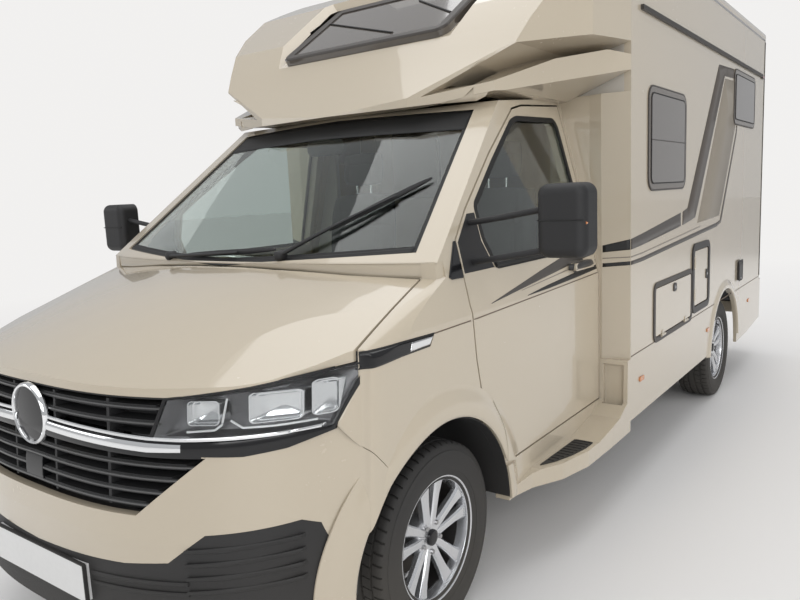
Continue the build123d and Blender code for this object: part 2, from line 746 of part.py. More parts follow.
# The well widens upwards, so that the shoulders slope down to the skylight's frame
with BuildPart() as skylight_well:
    with BuildSketch(sky_plane):
        Rectangle(2 * (SKYLIGHT_HALF + WELL_EDGE), SKY_SLOPE)
    extrude(amount=WELL_DEPTH, taper=-WELL_SPREAD)
with BuildPart() as hood_side_wing:
    add(hood_wing)
    add(side_prism(WING_SIDE, -HALF_BODY, HALF_BODY), mode=Mode.INTERSECT)
    add(plan_prism(WING_PLAN, 1800, 2200), mode=Mode.INTERSECT)
with BuildPart() as overcab_hood:
    add(hood_brow)
    add(side_prism(BROW_SIDE, -HALF_BODY, HALF_BODY), mode=Mode.INTERSECT)
    add(plan_prism(BROW_PLAN, 1800, 2800), mode=Mode.INTERSECT)
    add(hood_side_wing.part)
    add(side_prism(HOOD_ROOM, -690, 690), mode=Mode.SUBTRACT)
    add(side_prism(HOOD_SIDE_ROOM, -HOOD_SIDE_HALF, HOOD_SIDE_HALF), mode=Mode.SUBTRACT)
    add(skylight_well.part, mode=Mode.SUBTRACT)
    add(
        side_prism(
            [
                (SKYLIGHT_PLANE[0][0] + 60, SKYLIGHT_PLANE[0][1] - 60),
                (SKYLIGHT_PLANE[0][0] + 45, SKYLIGHT_PLANE[0][1] + 60),
                (SKYLIGHT_PLANE[1][0] - 75, SKYLIGHT_PLANE[1][1] + 40),
                (SKYLIGHT_PLANE[1][0] - 10, SKYLIGHT_PLANE[1][1] - 80),
            ],
            -SKYLIGHT_HALF + 60,
            SKYLIGHT_HALF - 60,
        ),
        mode=Mode.SUBTRACT,
    )
    add(cabin_outer, mode=Mode.SUBTRACT)
with BuildPart() as hood_skylight:
    with BuildSketch(sky_plane):
        RectangleRounded(2 * SKYLIGHT_HALF, SKY_SLOPE - 10, 60)
    extrude(amount=28)

# Living body: a box with rounded rear corners and roof edges
REAR_CORNER = BODY_REAR - SIDE_REAR
ROOF_EDGE = 85


def body_block(inset):
    """The living body as a closed shape, with sides, rear and roof drawn in by the inset."""
    half = HALF_BODY - inset
    rear = BODY_REAR - inset
    corner = REAR_CORNER - inset
    slack = corner * (1 - math.cos(math.radians(45)))
    with BuildPart() as plan:
        with BuildSketch(Plane.XY.offset(FRAME_BOTTOM - 200)):
            with BuildLine():
                for side in (-1, 1):
                    Line((side * half, at(BODY_FRONT)), (side * half, at(SIDE_REAR)))
                    ThreePointArc(
                        (side * half, at(SIDE_REAR)),
                        (side * (half - slack), at(rear - slack)),
                        (side * (half - corner), at(rear)),
                    )
                Line((-half, at(BODY_FRONT)), (half, at(BODY_FRONT)))
                Line((-half + corner, at(rear)), (half - corner, at(rear)))
            make_face()
        extrude(amount=2600)
    with BuildPart() as roof_form:
        with BuildSketch(Plane.XZ.offset(-at(BODY_FRONT))):
            with BuildLine():
                for side in (-1, 1):
                    Line((side * half, 200), (side * half, SIDE_TOP))
                    ThreePointArc(
                        (side * half, SIDE_TOP),
                        (side * (half - 18), SIDE_TOP + 68 - inset),
                        (side * (half - ROOF_EDGE), SIDE_TOP + 100 - inset),
                    )
                    Line((side * (half - ROOF_EDGE), SIDE_TOP + 100 - inset), (0, ROOF_TOP - inset))
                Line((-half, 200), (half, 200))
            make_face()
        extrude(amount=BODY_FRONT - BODY_REAR)
    with BuildPart() as lengthwise:
        with BuildSketch(Plane.YZ.offset(-HALF_BODY)):
            with BuildLine():
                Polyline(
                    (at(rear), 2480),
                    (at(rear), 200),
                    (at(BODY_FRONT), 200),
                    (at(BODY_FRONT), 2628 - inset),
                    (at(1570), 2702 - inset),
                    (at(1760), ROOF_TOP + 20 - inset),
                    (at(4600), ROOF_TOP + 20 - inset),
                )
                ThreePointArc(
                    (at(4600), ROOF_TOP + 20 - inset), (at(4820 - inset), 2665 - inset),
                    (at(rear), 2480),
                )
            make_face()
        extrude(amount=BODY_WIDTH)
    with BuildPart() as body:
        add(plan.part)
        add(roof_form.part, mode=Mode.INTERSECT)
        add(lengthwise.part, mode=Mode.INTERSECT)
    return body.part


body_outer = body_block(0)
body_inner = body_block(BODY_WALL)
with BuildPart() as body_shell:
    add(body_outer)
    add(body_inner, mode=Mode.SUBTRACT)

# Openings in the side walls: (middle behind the axle, middle height, width, height, corner radius)
LEFT_WINDOWS = [(1980, 1732, 670, 504, 70), (3915, 2081, 730, 372, 60)]
RIGHT_WINDOWS = [(2810, 1732, 670, 504, 70), (3915, 2081, 730, 372, 60)]
REAR_WINDOW = (0, 1850, 900, 420, 60)
SERVICE_FLAP = (2125, 852, 690, 250, 18)
TOILET_FLAP = (2707, 937, 330, 330, 18)
GARAGE_DOOR = (4290, 1130, 600, 720, 30)
ENTRY_DOOR = (1960, 1592, 620, 1740, 60)
ENTRY_WINDOW = (1960, 1950, 330, 420, 50)
FLAP_PROUD = 4


def side_panel(opening, low_x, high_x, grow=0.0):
    """Rounded slab between two X planes at an opening in a side wall."""
    behind, height, width, tall, corner = opening
    with BuildPart() as panel:
        with BuildSketch(Plane.YZ.offset(low_x)):
            with Locations((at(behind), height)):
                RectangleRounded(width + 2 * grow, tall + 2 * grow, corner + grow)
        extrude(amount=high_x - low_x)
    return panel.part


rear_arches = drum((-1200, 1200), WHEELBASE, TYRE_RADIUS, REAR_ARCH_RADIUS)
WALL_IN = HALF_BODY - BODY_WALL
with BuildPart() as side_wall_left:
    add(body_shell.part)
    add(
        block((WALL_IN - 1, HALF_BODY + 1), (BODY_FRONT, SIDE_REAR), (BODY_FLOOR_TOP, SIDE_TOP)),
        mode=Mode.INTERSECT,
    )
    for window in LEFT_WINDOWS:
        add(side_panel(window, 1000, 1200), mode=Mode.SUBTRACT)
    for flap in (SERVICE_FLAP, TOILET_FLAP):
        add(side_panel(flap, 1000, 1200, grow=RUNNING_GAP), mode=Mode.SUBTRACT)
    add(rear_arches, mode=Mode.SUBTRACT)
with BuildPart() as side_wall_right:
    add(body_shell.part)
    add(
        block((-HALF_BODY - 1, 1 - WALL_IN), (BODY_FRONT, SIDE_REAR), (BODY_FLOOR_TOP, SIDE_TOP)),
        mode=Mode.INTERSECT,
    )
    for window in RIGHT_WINDOWS:
        add(side_panel(window, -1200, -1000), mode=Mode.SUBTRACT)
    for door in (GARAGE_DOOR, ENTRY_DOOR):
        add(side_panel(door, -1200, -1000, grow=RUNNING_GAP), mode=Mode.SUBTRACT)
    add(rear_arches, mode=Mode.SUBTRACT)
with BuildPart() as rear_wall:
    add(body_shell.part)
    add(block((-1200, 1200), (SIDE_REAR, BODY_REAR + 1), (BODY_FLOOR_TOP, SIDE_TOP)), mode=Mode.INTERSECT)
    with BuildSketch(Plane.XZ.offset(-at(BODY_REAR + 10))):
        with Locations((REAR_WINDOW[0], REAR_WINDOW[1])):
            RectangleRounded(REAR_WINDOW[2], REAR_WINDOW[3], REAR_WINDOW[4])
    extrude(amount=100, mode=Mode.SUBTRACT)
# Roof hatches: (behind, length, width)
HATCHES = [(1750, 520, 720), (2900, 420, 420), (4050, 420, 420)]
with BuildPart() as roof:
    add(body_shell.part)
    add(block((-1200, 1200), (BODY_FRONT, BODY_REAR + 1), (SIDE_TOP, ROOF_TOP + 100)), mode=Mode.INTERSECT)
    for behind, length, width in HATCHES:
        add(
            block((-width / 2, width / 2), (behind - length / 2, behind + length / 2), (2500, 3000)),
            mode=Mode.SUBTRACT,
        )
with BuildPart() as roof_hatches:
    for behind, length, width in HATCHES:
        top = HATCH_TOP - (0 if behind == HATCHES[0][0] else 20)
        with BuildSketch(Plane.XY.offset(ROOF_TOP + 4)):
            with Locations((0, at(behind))):
                RectangleRounded(width + 90, length + 90, 50)
        extrude(amount=top - ROOF_TOP - 4, taper=12)
        with BuildSketch(Plane.XY.offset(ROOF_TOP - 60)):
            with Locations((0, at(behind))):
                Rectangle(width - 2 * FIT, length - 2 * FIT)
        extrude(amount=70)

with BuildPart() as bulkhead:
    add(body_inner)
    add(
        block((-1200, 1200), (BODY_FRONT, BODY_FRONT + BODY_WALL), (BODY_FLOOR_TOP, SIDE_TOP)),
        mode=Mode.INTERSECT,
    )
    add(block((-690, 690), (1000, 2000), (BODY_FLOOR_TOP - 1, 2100)), mode=Mode.SUBTRACT)
    add(block((-900, 900), (1000, 2000), (2110, 2560)), mode=Mode.SUBTRACT)

# Fairings: the door's inner top corner swings back by 24, so the inner part stands farther back
FAIRING_FRONT = DOOR_REAR + 22
FAIRING_EDGE = 960
FAIRING_SHOULDER = 900
FAIRING_INNER = 700
FAIRING_BOTTOM = 690
with BuildPart() as pillar_fairings:
    for side in (-1, 1):
        add(
            plan_prism(
                [
                    (side * FAIRING_INNER, BODY_FRONT - 8),
                    (side * FAIRING_SHOULDER, BODY_FRONT - 16),
                    (side * FAIRING_EDGE, FAIRING_FRONT),
                    (side * HALF_BODY, BODY_FRONT - 1),
                    (side * HALF_BODY, BODY_FRONT),
                    (side * FAIRING_INNER, BODY_FRONT),
                ],
                FAIRING_BOTTOM,
                HOOD_BOTTOM + 60,
            )
        )
    add(cabin_outer, mode=Mode.SUBTRACT)
    add(overcab_hood.part, mode=Mode.SUBTRACT)

# Skirts along the living body: (behind, height)
SKIRT_OUTLINE = [
    (BODY_FRONT, 385), (3000, 385), (3700, 300), (4200, 312), (SIDE_REAR, 345),
    (SIDE_REAR, BODY_FLOOR_TOP), (BODY_FRONT, BODY_FLOOR_TOP),
]
SKIRT_WALL = 22
with BuildPart() as skirts:
    for low_x in (-HALF_BODY, HALF_BODY - SKIRT_WALL):
        add(side_prism(SKIRT_OUTLINE, low_x, low_x + SKIRT_WALL))
    add(rear_arches, mode=Mode.SUBTRACT)

# Rear bumper wraps round both corners
BUMPER_WALL = 60
BUMPER_LOW = 345
BUMPER_CORNER = 250
with BuildPart() as rear_bumper:
    for inset, mode in ((0, Mode.ADD), (BUMPER_WALL, Mode.SUBTRACT)):
        half = HALF_BODY - inset
        rear = REAR_END - inset
        corner = BUMPER_CORNER - inset
        slack = corner * (1 - math.cos(math.radians(45)))
        with BuildSketch(Plane.XY.offset(BUMPER_LOW)):
            with BuildLine():
                for side in (-1, 1):
                    Line((side * half, at(SIDE_REAR - inset)), (side * half, at(rear - corner)))
                    ThreePointArc(
                        (side * half, at(rear - corner)),
                        (side * (half - slack), at(rear - slack)),
                        (side * (half - corner), at(rear)),
                    )
                Line((-half + corner, at(rear)), (half - corner, at(rear)))
                Line((-half, at(SIDE_REAR - inset)), (half, at(SIDE_REAR - inset)))
            make_face()
        extrude(amount=BODY_FLOOR_TOP - BUMPER_LOW, mode=mode)
    add(
        block(
            (-HALF_BODY + BUMPER_WALL, HALF_BODY - BUMPER_WALL), (SIDE_REAR - 1, BODY_REAR - 100),
            (BUMPER_LOW - 1, BODY_FLOOR_TOP + 1),
        ),
        mode=Mode.SUBTRACT,
    )
    chamfer(rear_bumper.faces().sort_by(Axis.Y)[-1].edges().sort_by(Axis.Z)[-1], 30)

# Tail lamps: (x, middle height, width, height)
TAIL_LAMPS = [(side * 760, 900, 130, 300) for side in (-1, 1)]
with BuildPart() as tail_lamps:
    for x, height, width, tall in TAIL_LAMPS:
        with BuildSketch(Plane.XZ.offset(-at(BODY_REAR + 36))):
            with Locations((x, height)):
                RectangleRounded(width, tall, 22)
        extrude(amount=36)

# Rails, inlet cover and marker lamps fixed on the side walls
RAIL_HEIGHTS = {1: 2316, -1: 2530}
RAIL_SPAN = (1531, 4546)
INLET = (3865, 843, 130, 140, 12)
RAIL_PROUD = 14
MARKER_PROUD = 10
with BuildPart() as side_rails:
    for side, height in RAIL_HEIGHTS.items():
        add(block(span(side, HALF_BODY, HALF_BODY + RAIL_PROUD), RAIL_SPAN, (height - 11, height + 11)))
        add(side_panel((4590, height - 6, 60, 26, 8), *span(side, HALF_BODY, HALF_BODY + MARKER_PROUD)))
    add(side_panel(INLET, HALF_BODY, HALF_BODY + 12))

# Window rings and panes
RING_WIDTH = 34
RING_PROUD = 6
PANE_PROUD = 9


def both_walls(windows_left, windows_right, low, high, grow):
    """Window slabs on the left side, and their likes on the right side."""
    slabs = [side_panel(window, low, high, grow) for window in windows_left]
    slabs += [side_panel(window, -high, -low, grow) for window in windows_right]
    return slabs


with BuildPart() as window_rings:
    for slab in both_walls(LEFT_WINDOWS, RIGHT_WINDOWS, WALL_IN, HALF_BODY + RING_PROUD, -FIT):
        add(slab)
    for slab in both_walls(LEFT_WINDOWS, RIGHT_WINDOWS, WALL_IN - 5, HALF_BODY + 20, -RING_WIDTH):
        add(slab, mode=Mode.SUBTRACT)
    with BuildSketch(Plane.XZ.offset(-at(BODY_REAR + RING_PROUD))):
        with Locations((REAR_WINDOW[0], REAR_WINDOW[1])):
            RectangleRounded(REAR_WINDOW[2] - 2 * FIT, REAR_WINDOW[3] - 2 * FIT, REAR_WINDOW[4])
            RectangleRounded(
                REAR_WINDOW[2] - 2 * RING_WIDTH,
                REAR_WINDOW[3] - 2 * RING_WIDTH,
                REAR_WINDOW[4] - RING_WIDTH,
                mode=Mode.SUBTRACT,
            )
    extrude(amount=BODY_WALL + RING_PROUD)
with BuildPart() as window_panes:
    for slab in both_walls(
        LEFT_WINDOWS, RIGHT_WINDOWS, HALF_BODY - 12, HALF_BODY + PANE_PROUD, -RING_WIDTH - FIT
    ):
        add(slab)
    with BuildSketch(Plane.XZ.offset(-at(BODY_REAR + PANE_PROUD))):
        with Locations((REAR_WINDOW[0], REAR_WINDOW[1])):
            RectangleRounded(
                REAR_WINDOW[2] - 2 * (RING_WIDTH + FIT),
                REAR_WINDOW[3] - 2 * (RING_WIDTH + FIT),
                REAR_WINDOW[4] - RING_WIDTH,
            )
    extrude(amount=20)

# Barrel hinges on the walls' outside: three barrels on one axis each, the middle one on the flap or door
BARREL_SPANS = {"fixed": [(-36, -13), (13, 36)], "moving": [(BARREL_GAP - 13, 13 - BARREL_GAP)]}
LEAF_REACH = 24
LEAF_THICKNESS = 5


def upright_barrels(side, edge, places, kind):
    """Fixed or moving halves of the upright hinges in front of a door's front edge, at the given heights."""
    axis = edge - HINGE_PROUD
    low, high = (0, LEAF_THICKNESS) if kind == "fixed" else (FLAP_PROUD, HINGE_PROUD)
    leaf = (axis - LEAF_REACH, axis) if kind == "fixed" else (axis, axis + LEAF_REACH)
    with BuildPart() as halves:
        for place in places:
            for bottom, top in BARREL_SPANS[kind]:
                add(
                    upright_bar(
                        side * (HALF_BODY + HINGE_PROUD), axis, (place + bottom, place + top), BARREL_RADIUS
                    ),
                )
                add(
                    block(
                        span(side, HALF_BODY + low, HALF_BODY + high), leaf, (place + bottom, place + top)
                    ),
                )
    return halves.part


def level_barrels(edge, places, kind):
    """Fixed or moving halves of the level hinges under a left flap's bottom edge, at places behind the axle."""
    axis = edge - HINGE_PROUD
    low, high = (0, LEAF_THICKNESS) if kind == "fixed" else (FLAP_PROUD, HINGE_PROUD)
    leaf = (BODY_FLOOR_TOP + 2, axis) if kind == "fixed" else (axis, axis + LEAF_REACH)
    with BuildPart() as halves:
        for place in places:
            for front, rear in BARREL_SPANS[kind]:
                with BuildSketch(Plane.XZ.offset(-at(place + front))):
                    with Locations((HALF_BODY + HINGE_PROUD, axis)):
                        Circle(BARREL_RADIUS)
                extrude(amount=front - rear)
                add(block((HALF_BODY + low, HALF_BODY + high), (place + front, place + rear), leaf))
    return halves.part


# Upright hinges: opening -> (side, hinge heights)
UPRIGHT_HINGES = {
    TOILET_FLAP: (1, (840, 1034)),
    GARAGE_DOOR: (-1, (900, 1360)),
    ENTRY_DOOR: (-1, (860, 1560, 2300)),
}
SERVICE_HINGES = (1900, 2350)


def front_edge(opening):
    """Place of an opening's front edge behind the front axle."""
    return opening[0] - opening[2] / 2


def hinge_halves(opening, kind):
    """Fixed or moving halves of the hinges of one door or flap with an upright axis."""
    side, heights = UPRIGHT_HINGES[opening]
    return upright_barrels(side, front_edge(opening), heights, kind)


service_bottom = SERVICE_FLAP[1] - SERVICE_FLAP[3] / 2
side_wall_left.part = side_wall_left.part + hinge_halves(TOILET_FLAP, "fixed")
side_wall_left.part = side_wall_left.part + level_barrels(service_bottom, SERVICE_HINGES, "fixed")
side_wall_right.part = side_wall_right.part + hinge_halves(
    GARAGE_DOOR, "fixed"
) + hinge_halves(ENTRY_DOOR, "fixed")

# Flaps and doors of the living body
FLAP_WALL = 28
with BuildPart() as service_flap:
    add(side_panel(SERVICE_FLAP, HALF_BODY + FLAP_PROUD - FLAP_WALL, HALF_BODY + FLAP_PROUD))
    add(level_barrels(service_bottom, SERVICE_HINGES, "moving"))
with BuildPart() as toilet_flap:
    add(side_panel(TOILET_FLAP, HALF_BODY + FLAP_PROUD - FLAP_WALL, HALF_BODY + FLAP_PROUD))
    add(hinge_halves(TOILET_FLAP, "moving"))
with BuildPart() as garage_door:
    add(side_panel(GARAGE_DOOR, -HALF_BODY - FLAP_PROUD, -HALF_BODY - FLAP_PROUD + BODY_WALL))
    add(hinge_halves(GARAGE_DOOR, "moving"))
with BuildPart() as entry_door:
    add(side_panel(ENTRY_DOOR, -HALF_BODY - FLAP_PROUD, -HALF_BODY - FLAP_PROUD + BODY_WALL))
    add(side_panel(ENTRY_WINDOW, -1200, -1000), mode=Mode.SUBTRACT)
    add(
        side_panel(
            (ENTRY_DOOR[0] + 240, 1500, 60, 150, 12), -HALF_BODY - FLAP_PROUD - 18, -HALF_BODY - FLAP_PROUD
        ),
    )
    add(hinge_halves(ENTRY_DOOR, "moving"))
with BuildPart() as entry_door_glass:
    add(side_panel(ENTRY_WINDOW, -HALF_BODY - FLAP_PROUD + 4, -HALF_BODY - FLAP_PROUD + 16, grow=-FIT))

# Floors
HOUSING_WALL = 14
HOUSING_INNER_X = 830
with BuildPart() as body_floor:
    add(body_inner)
    add(block((-1200, 1200), (BODY_FRONT, BODY_REAR), (CAB_FLOOR, BODY_FLOOR_TOP)), mode=Mode.INTERSECT)
    for side in (-1, 1):
        low_x = min(side * (HOUSING_INNER_X - HOUSING_WALL), side * WALL_IN)
        add(
            drum(
                (low_x, low_x + WALL_IN - HOUSING_INNER_X + HOUSING_WALL),
                WHEELBASE,
                TYRE_RADIUS,
                REAR_ARCH_RADIUS + HOUSING_WALL,
            ),
        )
    for side in (-1, 1):
        low_x = min(side * HOUSING_INNER_X, side * (WALL_IN + 1))
        add(
            drum((low_x, low_x + WALL_IN + 1 - HOUSING_INNER_X), WHEELBASE, TYRE_RADIUS, REAR_ARCH_RADIUS),
            mode=Mode.SUBTRACT,
        )
    add(block((-1200, 1200), (BODY_FRONT, BODY_REAR), (-200, CAB_FLOOR)), mode=Mode.SUBTRACT)
    add(rear_bumper.part, mode=Mode.SUBTRACT)
SEAT_BOX = (280, 600)
SEAT_BOX_TOP = 948
with BuildPart() as cab_floor:
    add(
        block((-884, 884), (FIREWALL + DOOR_WALL, BODY_FRONT), (CAB_FLOOR, CAB_FLOOR + CAB_FLOOR_THICKNESS))
    )
    for side in (-1, 1):
        add(block(span(side, *SEAT_BOX), (900, 1340), (CAB_FLOOR, SEAT_BOX_TOP)))
    for low_x in (-1000, 480):
        add(drum((low_x, low_x + 520), ARCH_BEHIND, TYRE_RADIUS, ARCH_RADIUS), mode=Mode.SUBTRACT)
    add(cab_body.part, mode=Mode.SUBTRACT)

# Seats: one side outline for cushion, back and headrest, carried across the seat
SEAT_BASE = SEAT_BOX_TOP + BARREL_GAP
SEAT_OUTLINE = [
    (860, SEAT_BASE),
    (850, 1030),
    (880, 1062),
    (1240, 1040),
    (1312, 1560),
    (1322, 1765),
    (1366, 1775),
    (1390, 1560),
    (1370, SEAT_BASE),
]
SEAT_HALF = 235
SEAT_X = 430
with BuildPart() as cab_seats:
    for side in (-1, 1):
        add(side_prism(SEAT_OUTLINE, side * SEAT_X - SEAT_HALF, side * SEAT_X + SEAT_HALF))

DASH_OUTLINE = [
    (FIREWALL + DOOR_WALL, 860), (FIREWALL + DOOR_WALL, 1236), (340, 1232), (560, 1170), (592, 1020),
    (560, 860),
]
with BuildPart() as dashboard:
    add(side_prism(DASH_OUTLINE, -840, 840))
    add(cab_body.part, mode=Mode.SUBTRACT)
WHEEL_RIM_RADIUS = 184
wheel_plane = Plane(origin=(SEAT_X, at(640), 1165), x_dir=(1, 0, 0), z_dir=(0, 0.62, 0.78))
with BuildPart() as steering_wheel:
    with BuildSketch(wheel_plane.offset(-12)):
        Circle(WHEEL_RIM_RADIUS + 15)
        Circle(WHEEL_RIM_RADIUS - 15, mode=Mode.SUBTRACT)
        Circle(62)
        for angle in (0, 180, 270):
            with Locations(Rotation(0, 0, angle)):
                with Locations((WHEEL_RIM_RADIUS / 2 + 20, 0)):
                    Rectangle(WHEEL_RIM_RADIUS - 45, 34)
    extrude(amount=24)
    with BuildSketch(wheel_plane.offset(-12)):
        Circle(36)
    extrude(amount=-160)
    add(dashboard.part, mode=Mode.SUBTRACT)

# Chassis: two rails, cross members and a front beam
RAIL_X = (390, 450)
RAIL_FRONT = -700
RAIL_REAR = 4700
CROSS_MEMBERS = [-660, 120, 1000, 1900, 2700, 3800, 4600]
CROSS_WIDTH = 70
ENGINE_SPAN = ((-330, 330), (-520, -80), (560, 1060))
JACK_PADS = (1300, 4000)
PAD_HEIGHT = 12
TOW_BEHIND = 4500
TOW_PITCH = 80
TOW_HOLE = 6.5
with BuildPart() as chassis_frame:
    for side in (-1, 1):
        add(
            block(
                (min(side * RAIL_X[0], side * RAIL_X[1]), max(side * RAIL_X[0], side * RAIL_X[1])),
                (RAIL_FRONT, RAIL_REAR), (FRAME_BOTTOM, CAB_FLOOR),
            ),
        )
    for behind in CROSS_MEMBERS:
        add(
            block(
                (-RAIL_X[0], RAIL_X[0]), (behind - CROSS_WIDTH / 2, behind + CROSS_WIDTH / 2),
                (FRAME_BOTTOM, FRAME_BOTTOM + 80),
            ),
        )
    for behind in (1500, 2400, 4100, 4640):
        for side in (-1, 1):
            add(
                block(
                    (min(side * RAIL_X[1], side * 1040), max(side * RAIL_X[1], side * 1040)),
                    (behind - 20, behind + 20), (CAB_FLOOR - 70, CAB_FLOOR),
                ),
            )
    add(block((-560, 560), (RAIL_FRONT - 60, RAIL_FRONT), (FRAME_BOTTOM, FRAME_BOTTOM + 120)))
    for side in (-1, 1):
        for behind in JACK_PADS:
            add(
                block(
                    span(side, *RAIL_X),
                    (behind - 60, behind + 60),
                    (FRAME_BOTTOM - PAD_HEIGHT, FRAME_BOTTOM),
                ),
            )
        for behind in (-440, -150):
            add(
                block(
                    span(side, ENGINE_SPAN[0][1] - 40, RAIL_X[0]),
                    (behind - 40, behind + 40),
                    (FRAME_BOTTOM + 20, ENGINE_SPAN[2][0] - FIT),
                ),
            )
    with BuildSketch(Plane.XY.offset(FRAME_BOTTOM)):
        with Locations((0, at(TOW_BEHIND))):
            with GridLocations(RAIL_X[0] + RAIL_X[1], TOW_PITCH, 2, 2):
                Circle(TOW_HOLE)
    extrude(amount=CAB_FLOOR - FRAME_BOTTOM, mode=Mode.SUBTRACT)

# Engine and gearbox stand across the frame on four brackets
with BuildPart() as engine:
    add(block(*ENGINE_SPAN))
    add(chassis_frame.part, mode=Mode.SUBTRACT)

ARM_HALF = 30
KINGPIN_RADIUS = 9
ARM_TOP = 255
STRUT_X = 650
STRUT_RADIUS = 24
with BuildPart() as front_subframe:
    add(block((-RAIL_X[1], RAIL_X[1]), (-90, 90), (ARM_TOP - 30, 380)))
    for side in (-1, 1):
        add(
            block(
                (min(side * RAIL_X[0], side * RAIL_X[1]), max(side * RAIL_X[0], side * RAIL_X[1])),
                (-60, 60), (380, FRAME_BOTTOM),
            ),
        )
        add(block(span(side, RAIL_X[0], KINGPIN_X - 24), (-ARM_HALF, ARM_HALF), (ARM_TOP - 30, ARM_TOP)))
        add(block(span(side, KINGPIN_X - 25, KINGPIN_X), (-12, 12), (ARM_TOP - 30, ARM_TOP)))
        add(upright_bar(side * KINGPIN_X, 0, (ARM_TOP - 30, ARM_TOP), 15))
        add(upright_bar(side * KINGPIN_X, 0, (ARM_TOP, ARM_TOP + 24), KINGPIN_RADIUS))
        add(
            block(
                (min(side * RAIL_X[1], side * (RAIL_X[1] + 20)), max(side * RAIL_X[1], side * (RAIL_X[1] + 20))),
                (-60, 60), (FRAME_BOTTOM, 890),
            ),
        )
        add(
            block(
                (min(side * RAIL_X[1], side * (STRUT_X + 40)), max(side * RAIL_X[1], side * (STRUT_X + 40))),
                (-60, 60), (865, 890),
            ),
        )
        with BuildSketch(Plane.XY.offset(471)):
            with Locations((side * STRUT_X, at(0))):
                Circle(STRUT_RADIUS)
        extrude(amount=400)

# Wheel liners: thin shells inside the front arches
LINER_WALL = 6
LINER_X = (490, 915)
with BuildPart() as wheel_liners:
    for side in (-1, 1):
        low_x = min(side * LINER_X[0], side * LINER_X[1])
        add(drum((low_x, low_x + LINER_X[1] - LINER_X[0]), ARCH_BEHIND, TYRE_RADIUS, ARCH_RADIUS - FIT))
    for side in (-1, 1):
        low_x = min(side * (LINER_X[0] + LINER_WALL), side * (LINER_X[1] + 1))
        add(
            drum(
                (low_x, low_x + LINER_X[1] - LINER_X[0]),
                ARCH_BEHIND,
                TYRE_RADIUS,
                ARCH_RADIUS - FIT - LINER_WALL,
            ),
            mode=Mode.SUBTRACT,
        )
    add(block((-1000, 1000), (-700, 600), (-200, TYRE_RADIUS + 40)), mode=Mode.SUBTRACT)
    add(block((-700, 700), (-180, 180), (200, 865 + 60)), mode=Mode.SUBTRACT)
    for taken in (cab_body, front_wings, front_bumper, bumper_trim, front_subframe, cab_floor):
        add(taken.part, mode=Mode.SUBTRACT)


# Knuckles: an upright behind the brake disc, with the stub axle
STUB_RADIUS = 20
knuckles = {}
for side, name in ((1, "knuckle_left"), (-1, "knuckle_right")):
    with BuildPart() as knuckle:
        add(block(span(side, KINGPIN_X - 20, KINGPIN_X + 20), (-45, 45), (ARM_TOP + FIT, 470)))
        add(block(span(side, STRUT_X - 25, KINGPIN_X - 20), (-22, 22), (440, 470)))
        add(drum(span(side, KINGPIN_X + 20, FRONT_TRACK / 2 + 20), 0, TYRE_RADIUS, STUB_RADIUS))
        pin_hole = upright_bar(side * KINGPIN_X, 0, (ARM_TOP, ARM_TOP + 25), KINGPIN_RADIUS + FIT)
        add(pin_hole, mode=Mode.SUBTRACT)
    knuckles[name] = knuckle

# Rear axle: a beam with stub axles, hung from the rails
with BuildPart() as rear_axle:
    add(drum((-REAR_TRACK / 2 - 20, REAR_TRACK / 2 + 20), WHEELBASE, TYRE_RADIUS, STUB_RADIUS))
    add(drum((-800, 800), WHEELBASE, TYRE_RADIUS, 42))
    for side in (-1, 1):
        add(drum(span(side, 800, REAR_TRACK / 2 - 62), WHEELBASE, TYRE_RADIUS, 110))
        add(block(span(side, *RAIL_X), (WHEELBASE - 50, WHEELBASE + 50), (TYRE_RADIUS, FRAME_BOTTOM)))

# Wheels: (name end, side, half track, behind)
WHEELS = [
    ("front_left", 1, FRONT_TRACK / 2, 0),
    ("front_right", -1, FRONT_TRACK / 2, 0),
    ("rear_left", 1, REAR_TRACK / 2, WHEELBASE),
    ("rear_right", -1, REAR_TRACK / 2, WHEELBASE),
]
BEAD_RADIUS = TYRE_RADIUS - TYRE_SIDEWALL
FLANGE_RADIUS = 222
FLANGE = 8
SPOKE_PLANE = 52
SPOKE_DEPTH = 30
DISC_PLANE = -55
DISC_THICKNESS = 20
